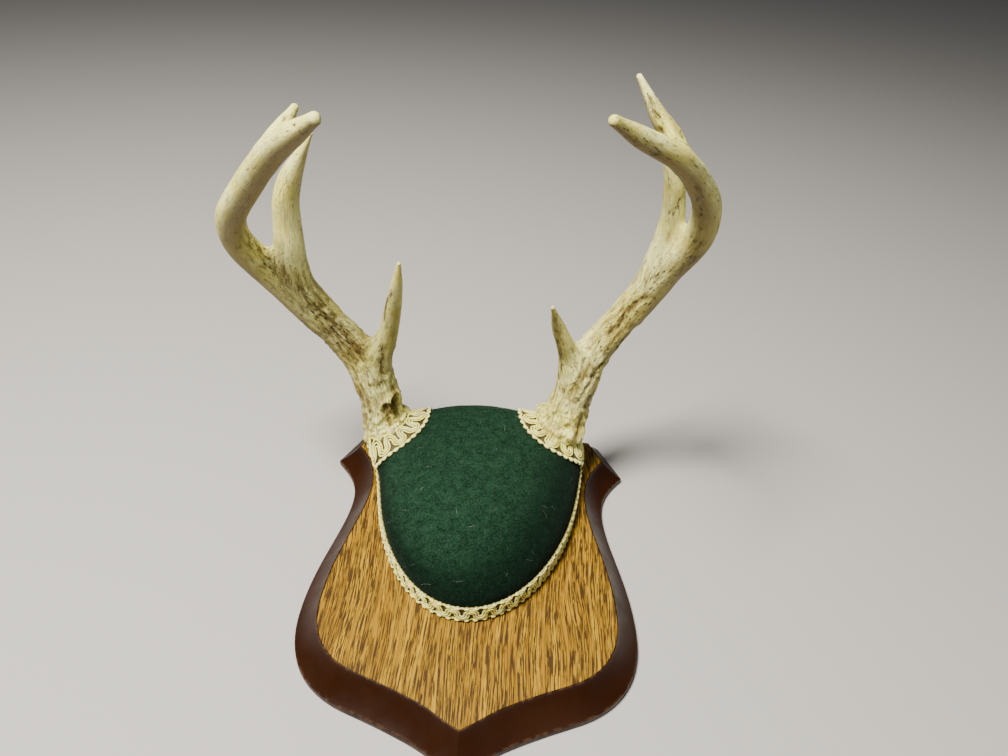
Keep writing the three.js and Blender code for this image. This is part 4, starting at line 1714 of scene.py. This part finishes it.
@dataclass
class Antler:
    """One antler as a single skin: beam, brow tine, second tine and third tine.

    `cell` is the lattice's cell and `spacing` the steps along a branch. The burr's ring lies
    `burr_at` along the beam and leans by `burr_tilt`, and points are placed on the branches
    `batch` at a time.
    """

    side: Side
    beam: Tine
    tines: tuple[Tine, ...]
    seed: int
    marks: tuple[Mark, ...] = ()
    cell: float = 0.8
    spacing: float = 1.6
    burr_at: float = 14.0
    burr_tilt: float = 0.5
    batch: int = 8000

    def _field(self) -> tuple[BoneField, Array]:
        """Lattice round the antler with the blended distance to all its branches."""
        chains = [part.chain(self.spacing) for part in (self.beam, *self.tines)]
        low = np.min([(c - r[:, None]).min(0) for c, r in chains], axis=0) - 4.0
        high = np.max([(c + r[:, None]).max(0) for c, r in chains], axis=0) + 4.0
        counts = tuple(int(n) for n in np.ceil((high - low) / self.cell))
        lattice = BoneField(low, self.cell, counts)
        values = lattice.branch(*chains[0])
        for chain, tine in zip(chains[1:], self.tines):
            values = lattice.blend(values, lattice.branch(*chain), tine.fillet, chain[0][0], tine.web)
        return lattice, values

    def _along(self, points: Array) -> dict[str, Array]:
        """Where each point lies on the branch that is nearest to it.

        Args:
            points: The bone's points (n, 3).

        Returns:
            `run` along the branch, `tip` to its end, its `radius` there, the `branch` number,
            and the offsets `u` and `v` from its middle in a frame that doesn't twist.
        """
        best = np.full(len(points), 1e9)
        found = {k: np.zeros(len(points)) for k in ("run", "tip", "radius", "branch", "u", "v")}
        for index, part in enumerate((self.beam, *self.tines)):
            centres, radii = part.chain(self.spacing)
            steps = np.linalg.norm(np.diff(centres, axis=0), axis=1)
            run = np.concatenate([[0], np.cumsum(steps)])
            ahead = unit(np.gradient(centres, axis=0))
            frames = np.zeros((len(centres), 3))
            frames[0] = unit(np.cross(ahead[0], [0.3, 0.9, 0.1]))
            for k in range(1, len(centres)):
                frames[k] = unit(frames[k - 1] - ahead[k] * (frames[k - 1] @ ahead[k]))
            for start in range(0, len(points), self.batch):
                part_points = points[start:start + self.batch]
                gap = np.linalg.norm(part_points[:, None] - centres[None], axis=2) - radii[None]
                near = gap.argmin(axis=1)
                value = gap[np.arange(len(near)), near]
                better = value < best[start:start + self.batch]
                spots = np.nonzero(better)[0]
                near, rows = near[spots], spots + start
                best[rows] = value[spots]
                away = points[rows] - centres[near]
                lengthwise = (away * ahead[near]).sum(1)
                found["run"][rows] = run[near] + lengthwise
                found["tip"][rows] = run[-1] - found["run"][rows]
                found["radius"][rows] = radii[near]
                found["branch"][rows] = index
                found["u"][rows] = (away * frames[near]).sum(1)
                found["v"][rows] = (away * np.cross(ahead[near], frames[near])).sum(1)
        return found

    def _knobs(self, points: Array) -> Array:
        """Height of the burr's pearls: rounded knobs in three uneven rows round the beam's foot.

        Args:
            points: The bone's points (n, 3).

        Returns:
            Heights (n,).
        """
        first, second = (np.array(station[:3]) for station in self.beam.stations[:2])
        axis = unit(second - first)
        side = unit(np.cross(axis, [0.0, 1.0, 0.0]))
        up = np.cross(side, axis)
        outward = np.array([-1.0 if self.side is Side.LEFT else 1.0, -0.4, 0.0])
        chance = np.random.default_rng(self.seed)
        height = np.zeros(len(points))
        for row, (shift, radius, count, reach, tall) in enumerate(
            ((0.0, 15.0, 14, 3.6, 4.4), (6.5, 14.6, 13, 2.9, 2.6), (13.0, 14.0, 11, 2.5, 1.8))
        ):
            uneven = chance.uniform(-0.22, 0.22, count)
            angles = (np.arange(count) + 0.5 * row + uneven) / count * 2 * np.pi
            for angle in angles:
                away = radius * (math.cos(angle) * side + math.sin(angle) * up)
                facing = float(away @ outward)
                lowered = self.burr_tilt * max(facing, -4.0)
                centre = second + away + axis * (shift - lowered + chance.uniform(-1.4, 1.4))
                size = chance.uniform(0.75, 1.25)
                near = np.exp(-((np.linalg.norm(points - centre, axis=1) / (reach * size)) ** 3))
                low_side = facing < 0 and away[1] < 4
                height = np.maximum(height, tall * size * near * (0.35 if low_side else 0.9))
        return height

    @staticmethod
    def _streaks(place: Array, across: float, along: float, seed: int, layers: int = 3) -> Array:
        """Layered noise in lumps that are `across` wide and `along` long on the bone."""
        return layered_noise(place * np.array([1 / across, 1 / across, 1 / along]), seed, layers)

    def surface(self) -> Surface:
        """The skin, with ridges, grooves, burr lumps and pits pressed into it.

        Ridges and flutes are noise stretched about eight times along the bone, pits are finer
        noise cut off below a level, and pearls are round noise. They are strongest at the foot
        and die away at the tips. The burr is a ring of lumps with knobs on it, and the marks
        are pressed in last.
        """
        lattice, values = self._field()
        made = relaxed(lattice.skin(values), 2, 0.5)
        normals = point_normals(made)
        at = self._along(made.points)
        run, tip = at["run"], at["tip"]
        on_beam = at["branch"] == 0
        low_part = np.where(on_beam, 1 - smoothstep(60, 190, run), 0.55 * (1 - smoothstep(15, 60, run)))
        polish = smoothstep(4, 45, tip)
        place = np.stack([at["u"], at["v"], run], -1)
        bent = place + 1.5 * np.stack([noise(made.points / 9.0, self.seed + k) for k in range(3)], -1)
        ridge = self._streaks(bent, 3.2, 26.0, self.seed)
        fluted = self._streaks(bent, 7.0, 60.0, self.seed + 5)
        pearl = layered_noise(made.points / np.array([2.6, 2.6, 3.4]), self.seed + 9, 2)
        pearl = np.maximum(pearl, -0.1)
        away = made.points - np.array(self.beam.stations[1][:3])
        outward = -1.0 if self.side is Side.LEFT else 1.0
        lowered = self.burr_tilt * np.maximum(away[:, 0] * outward - 0.4 * away[:, 1], -4.0)
        close = np.where(on_beam, bump_at(run + lowered, self.burr_at, 6.5), 0.0)
        crown = np.where(on_beam, 1 - smoothstep(self.burr_at + 4, self.burr_at + 42, run), 0.0)
        lumps = layered_noise(made.points / 3.4, self.seed + 21, 2)
        push = (
            ridge * (0.2 + 0.8 * low_part) * polish
            + fluted * (0.3 + 0.7 * low_part) * polish
            + pearl * (1.2 * low_part**1.5 + 1.5 * crown) * polish
            + close * (1.4 + 1.6 * lumps)
            + self._knobs(made.points)
        )
        pits = self._streaks(bent, 1.5, 4.2, self.seed + 31, 2)
        dent = smoothstep(0.42, 0.7, pits) * (0.25 + 0.75 * low_part) * polish
        push -= 0.7 * dent
        hollow = np.zeros(len(run))
        dirt_and_shade = np.zeros(len(run))
        uneven = 1 + 0.5 * layered_noise(made.points / 2.2, self.seed + 41, 2)
        for mark in self.marks:
            strong, lip = mark.strength(made.points)
            dirt_and_shade = np.maximum(dirt_and_shade, np.clip(mark.dirt_and_shade * strong * uneven, 0, 1))
            sunk = strong * np.clip(mark.depth / 2.5, 0, 1) * np.clip(uneven, 0.6, 1.2)
            hollow = np.maximum(hollow, sunk)
            push += mark.lip * lip - mark.depth * strong
        made.points = made.points + normals * push[:, None]
        groove = 0.28 - ridge * 1.7 - fluted * 0.6 - pearl * 0.8 - 0.25 * self._knobs(made.points)
        stain = np.clip(0.42 + 0.58 * low_part + 0.3 * fluted, 0, 1) * smoothstep(-14, 40, tip)
        made.values = {
            "bone_place": place * 0.1,
            "groove": np.clip(groove, 0, 1),
            "stain": np.clip(stain, 0.05, 1),
            "hollow": np.clip(np.maximum(hollow, dent * 0.85), 0, 1),
            "dirt_and_shade": dirt_and_shade,
            # Painted shade on the undersides: 1 where the skin faces well down, 0 from level upwards.
            "under": 1 - smoothstep(-0.65, 0.15, normals[:, 2]),
        }
        return made

    def build(self, bone: Material) -> Piece:
        """Makes the antler.

        Args:
            bone: Its finish.

        Returns:
            The antler as one object.
        """
        name = self.side.value
        beam = ("burr", "beam_lower", "beam_upper", "beam_tip")
        nodes = [f"{name}_{part}" for part in beam + ("brow_tine", "second_tine", "third_tine")]
        return make_piece(f"{name}_antler", self.surface(), bone, nodes)


LEFT_BEAM = Tine((
    (-58, 84, 36, 12.5), (-66, 84, 47, 14.6), (-69, 86, 57, 13.8), (-72, 88, 77, 13.4),
    (-85, 91, 104, 11.8), (-102, 91, 125, 10.8), (-130, 83, 160, 9.8), (-144, 70, 187, 8.8),
    (-142.3, 58, 207, 8.1), (-125, 40, 233, 7.6), (-103, 20, 260, 6.8), (-88, 5, 273.5, 5.4),
    (-75, -8, 284.5, 3.1),
))
LEFT_BROW = Tine((
    (-75, 89, 86, 9), (-71.5, 88, 102, 9.6), (-67, 85.5, 115, 7.8), (-62.5, 82, 127.5, 6),
    (-58.6, 77, 147, 5.2), (-55, 71, 167, 3.6), (-52.6, 66, 183, 1.3),
))
LEFT_SECOND = Tine((
    (-107, 90, 132, 8.5), (-117, 86, 153, 9.6), (-119.5, 82, 171, 9.7), (-118.8, 80, 184, 8.8),
    (-118.3, 79, 198, 8), (-117, 77, 212, 7.4), (-113, 75, 225, 6.5), (-106, 72, 238.5, 3.9),
    (-97, 68, 253.5, 0.9),
), fillet=9.0, web=62.0)
LEFT_THIRD = Tine((
    (-110, 27, 252, 5.5), (-104, 26, 262, 5.4), (-99, 28, 269.5, 4), (-94, 31, 277, 2),
), fillet=2.5)
RIGHT_BEAM = Tine((
    (44, 86, 46, 13.5), (51.5, 86, 56, 15.4), (55.5, 87, 66, 14.3), (59, 88, 82, 12.8),
    (69, 91, 116, 11), (87, 91, 147, 9.5), (104, 83, 182, 9.2), (114, 70, 209, 8.5),
    (112, 58, 232, 7.7), (99, 40, 253, 6.7), (83.5, 20, 269.5, 5.9), (63, 5, 282, 4.9),
    (48.5, -8, 292, 2.6),
))
RIGHT_BROW = Tine((
    (60, 89, 92, 9), (56.5, 88, 104, 9.2), (53, 86, 116, 7.2), (48.8, 82, 127, 5.5),
    (43, 77, 142, 4.1), (37.6, 66, 161, 1.3),
))
RIGHT_SECOND = Tine((
    (89, 90, 150, 7), (96.5, 87.5, 170, 8.6), (98.5, 85.5, 185, 8.4), (99.8, 82.5, 200.5, 7.5),
    (100.2, 79, 216, 6.7), (97, 75, 235, 5.8), (92, 72, 251, 4.2), (86, 68, 269, 0.9),
), fillet=7.0, web=62.0)
RIGHT_THIRD = Tine((
    (88, 25, 264.5, 4), (81.5, 26, 275, 5), (72.5, 28, 286, 3.9), (62, 31, 301, 1.5),
), fillet=3.0)

LEFT_MARKS = (
    Mark(((-60.5, 80.5, 73.5), (-58.5, 79.5, 60.0)), 4.0, 0.5, 3.8, 2.0, True),
    Mark(((-65.0, 76.0, 73.0), (-63.5, 75.5, 64.0)), 2.4, 0.5, 2.4, 1.4, True),
    Mark(((-74.0, 72.0, 44.5),), 4.0, 0.0, -2.8),
    Mark(((-69.5, 70.0, 51.0),), 2.8, 0.0, -2.6),
    Mark(((-78.5, 77.0, 49.5),), 2.6, 0.0, -1.2),
    Mark(((-74.5, 74.5, 54.5),), 2.2, 0.0, -1.8),
    Mark(((-70.5, 72.0, 60.5),), 2.0, 0.0, -1.5),
    Mark(((-71.5, 70.5, 47.5),), 1.5, 1.0, 1.8),
    Mark(((-76.3, 75.3, 49.0),), 1.3, 1.0, 1.5),
    Mark(((-72.0, 72.8, 55.5),), 1.3, 1.0, 1.5),
    Mark(((-84, 82, 112), (-91, 82, 120), (-99, 82, 132), (-109, 80, 147)), 9.0, 0.75),
    Mark(((-92, 81, 122), (-99, 81, 132), (-106, 80, 142)), 4.5, 1.0, 0.5),
    Mark(((-112, 76, 154), (-130, 73, 175), (-136, 66, 192)), 8.0, 0.6),
    Mark(((-58, 69, 161), (-62, 74, 152), (-63, 75, 141), (-63, 75, 132)), 1.8, 0.9),
    Mark(((-66, 78, 118), (-67, 78, 110), (-68, 80, 101), (-68, 81, 93), (-69, 78, 88)), 2.4, 1.0, 0.8),
    Mark(((-76, 79, 99),), 2.2, 1.0, 1.2),
    Mark(((-75, 77, 88),), 2.0, 1.0, 1.2),
    Mark(((-98, 26, 273),), 1.5, 1.0, 1.4),
    Mark(((-86, -3, 280),), 1.5, 1.0, 1.4),
    Mark(((-73.5, -8, 285),), 1.6, 1.0, 1.2),
)
RIGHT_MARKS = (
    Mark(((63.5, 73.4, 56.4),), 4.6, 0.0, -4.4),
    Mark(((56.5, 71.5, 61.0),), 3.6, 0.0, -3.0),
    Mark(((68.0, 78.5, 60.5),), 3.6, 0.0, -3.0),
    Mark(((75, 83, 135), (79, 82, 140), (84, 83, 152), (91, 80, 163), (94, 79, 166)), 2.8, 1.0, 1.5),
    Mark(((72, 84, 126), (84, 83, 152), (96, 79, 172)), 7.0, 0.55),
    Mark(((94, 79, 178), (106, 73, 186), (113, 68, 198)), 7.0, 0.6),
    Mark(((113, 68, 198), (112, 60, 212)), 4.0, 0.7),
    Mark(((97, 31, 253), (102, 39, 243), (108, 50, 230), (110, 55, 220)), 2.0, 0.85),
    Mark(((98, 72, 222), (101, 70, 231)), 2.4, 0.8, 0.6),
    Mark(((74, 23, 280),), 2.2, 1.0, 1.4),
    Mark(((71, 25, 288), (68, 26, 292)), 4.5, 0.7),
    # Painted shade: a soft brown mark along the underside of the right beam's tip.
    Mark(((51, -9, 290), (61, -1, 282), (73, 7, 273)), 5.0, 0.5),
    Mark(((88, 84, 135), (82, 83, 124), (75, 82, 114), (68, 79, 104)), 1.5, 0.8, 1.0),
    Mark(((71, 81, 106), (65, 78, 96), (60, 76, 85)), 1.6, 0.9, 1.4, 0.6),
    Mark(((69, 80, 88), (67, 79, 80)), 2.2, 1.0, 1.4),
    Mark(((40, 69, 151), (43, 75, 137), (47, 79, 121), (48, 82, 111), (49, 88, 94)), 3.0, 0.7),
)


# ------------------------------------------------------------------ stage, camera and lights
@dataclass(frozen=True)
class Viewpoint:
    """Where the camera stands, from its heading, downward pitch and roll in degrees."""

    place: Triple = (0.00714, -0.3239, 0.3812)
    heading: float = 0.703
    pitch: float = 35.0
    roll: float = 4.15
    lens: float = 27.04

    def build(self) -> Piece:
        """Makes the camera the scene's own."""
        yaw, pitch, roll = (math.radians(a) for a in (self.heading, self.pitch, self.roll))
        level = math.cos(pitch)
        ahead = np.array([math.sin(yaw) * level, math.cos(yaw) * level, -math.sin(pitch)])
        right = np.array([math.cos(yaw), -math.sin(yaw), 0.0])
        up = np.cross(right, ahead)
        turned = math.cos(roll) * right + math.sin(roll) * up
        upright = -math.sin(roll) * right + math.cos(roll) * up
        data = bpy.data.cameras.new("camera")
        data.lens = self.lens
        data.sensor_width = 36.0
        camera = linked("camera", data)
        axes = np.eye(4)
        axes[:3, 0], axes[:3, 1], axes[:3, 2], axes[:3, 3] = turned, upright, -ahead, self.place
        camera.matrix_world = Matrix(axes.tolist())
        bpy.context.scene.camera = camera
        return camera


@dataclass(frozen=True)
class SoftLight:
    """A square lamp that faces a point."""

    name: str
    place: Triple
    target: Triple
    size: float
    power: float
    tint: Triple = (1.0, 1.0, 1.0)

    def build(self) -> Piece:
        """Makes the lamp."""
        data = bpy.data.lights.new(self.name, "AREA")
        data.size = self.size
        data.energy = self.power
        data.color = self.tint
        lamp = linked(self.name, data)
        lamp.location = self.place
        away = Vector(self.target) - Vector(self.place)
        lamp.rotation_euler = away.to_track_quat("-Z", "Y").to_euler()
        return lamp


@dataclass
class Studio:
    """Plain pale floor just below the mount, soft lamps and an even sky."""

    floor_reach: float = 4000.0
    floor_drop: float = 0.3
    floor_tone: Colour = rgb(0.43, 0.417, 0.405)
    sky: Colour = rgb(0.80, 0.82, 0.86)
    sky_strength: float = 0.11
    lamps: tuple[SoftLight, ...] = (
        SoftLight("key_lamp", (-0.38, -0.31, 1.22), (0.0, 0.0, 0.1), 0.36, 50.0, (1.0, 0.955, 0.86)),
        SoftLight("fill_lamp", (0.9, -0.9, 1.1), (0.0, 0.0, 0.1), 1.2, 2.0, (0.94, 0.97, 1.0)),
    )

    def build(self) -> None:
        """Makes the floor, the lamps and the sky."""
        size, down = self.floor_reach, -self.floor_drop
        corners = np.array([(x * size, y * size, down) for x, y in ((-1, -1), (1, -1), (1, 1), (-1, 1))])
        mesh = bpy.data.meshes.new("floor")
        mesh.from_pydata((corners * MM).tolist(), [], [(0, 1, 2, 3)])
        made, graph, shader = start_material("floor")
        graph.feed(shader, Base_Color=self.floor_tone, Roughness=0.9)
        mesh.materials.append(made)
        floor = linked("floor", mesh)
        for lamp in self.lamps:
            lamp.build()
        world = bpy.data.worlds.new("sky")
        world.use_nodes = True
        back = world.node_tree.nodes["Background"]
        back.inputs["Color"].default_value = self.sky
        back.inputs["Strength"].default_value = self.sky_strength
        bpy.context.scene.world = world


# ------------------------------------------------------------------ the whole mount
def main() -> None:
    """Builds the stage and every piece of the mount, in order."""
    logging.basicConfig(level=logging.INFO, format="%(name)s: %(message)s")
    Viewpoint().build()
    Studio().build()
    effects = SharedEffects()
    Plaque().build(RimPaint().build(effects), OakVarnish().build(effects))
    dome = FeltDome()
    dome.build(
        GreenFelt().build(effects),
        FeltFibre().build(effects),
        FeltFibre("felt_lint", tone=rgb(0.40, 0.44, 0.36), deepest=0.6).build(effects),
    )
    cords = GimpCord().build(effects)
    trim = Trim(dome)
    foot = GimpBraid(period=10.4, strand_pitch=1.36, strand_radius=0.56, bead_radius=1.15)
    foot.build("braid_foot_cords", trim.foot_ribbon(), cords, "braid_foot", 3.0)
    axis = unit(np.array([-8.0, 0, 11]))
    left = trim.collar_ribbon(np.array([-63.0, 84, 44]), axis, inner=13.8, outer=32.3, lowest=32.0)
    axis = unit(np.array([7.5, 0, 10]))
    right = trim.collar_ribbon(np.array([50.0, 88, 50]), axis, inner=13.4, outer=30.3, lowest=32.0)
    cord = {"period": 11.0, "strand_pitch": 1.5, "strand_radius": 0.67, "bead_radius": 1.2, "beads": 3}
    wide = GimpBraid(width=18.5, inner_edge=3.8, outer_edge=2.9, **cord)
    spotted = ((-44.9, 86.0, 62.0, 2.6),)
    wide.build("braid_collar_left_cords", left, cords, "braid_collar_left", 1.0, spotted)
    narrow = GimpBraid(width=16.9, inner_edge=2.9, outer_edge=2.8, **cord)
    frayed = ((45.0, 72.0, 62.5, 4.5), (51.0, 67.5, 58.0, 3.2))
    narrow.build("braid_collar_right_cords", right, cords, "braid_collar_right", 4.0, frayed)
    bone = AntlerBone().build(effects)
    Antler(Side.LEFT, LEFT_BEAM, (LEFT_BROW, LEFT_SECOND, LEFT_THIRD), 41, LEFT_MARKS).build(bone)
    Antler(Side.RIGHT, RIGHT_BEAM, (RIGHT_BROW, RIGHT_SECOND, RIGHT_THIRD), 67, RIGHT_MARKS).build(bone)


if __name__ == "__main__":
    main()
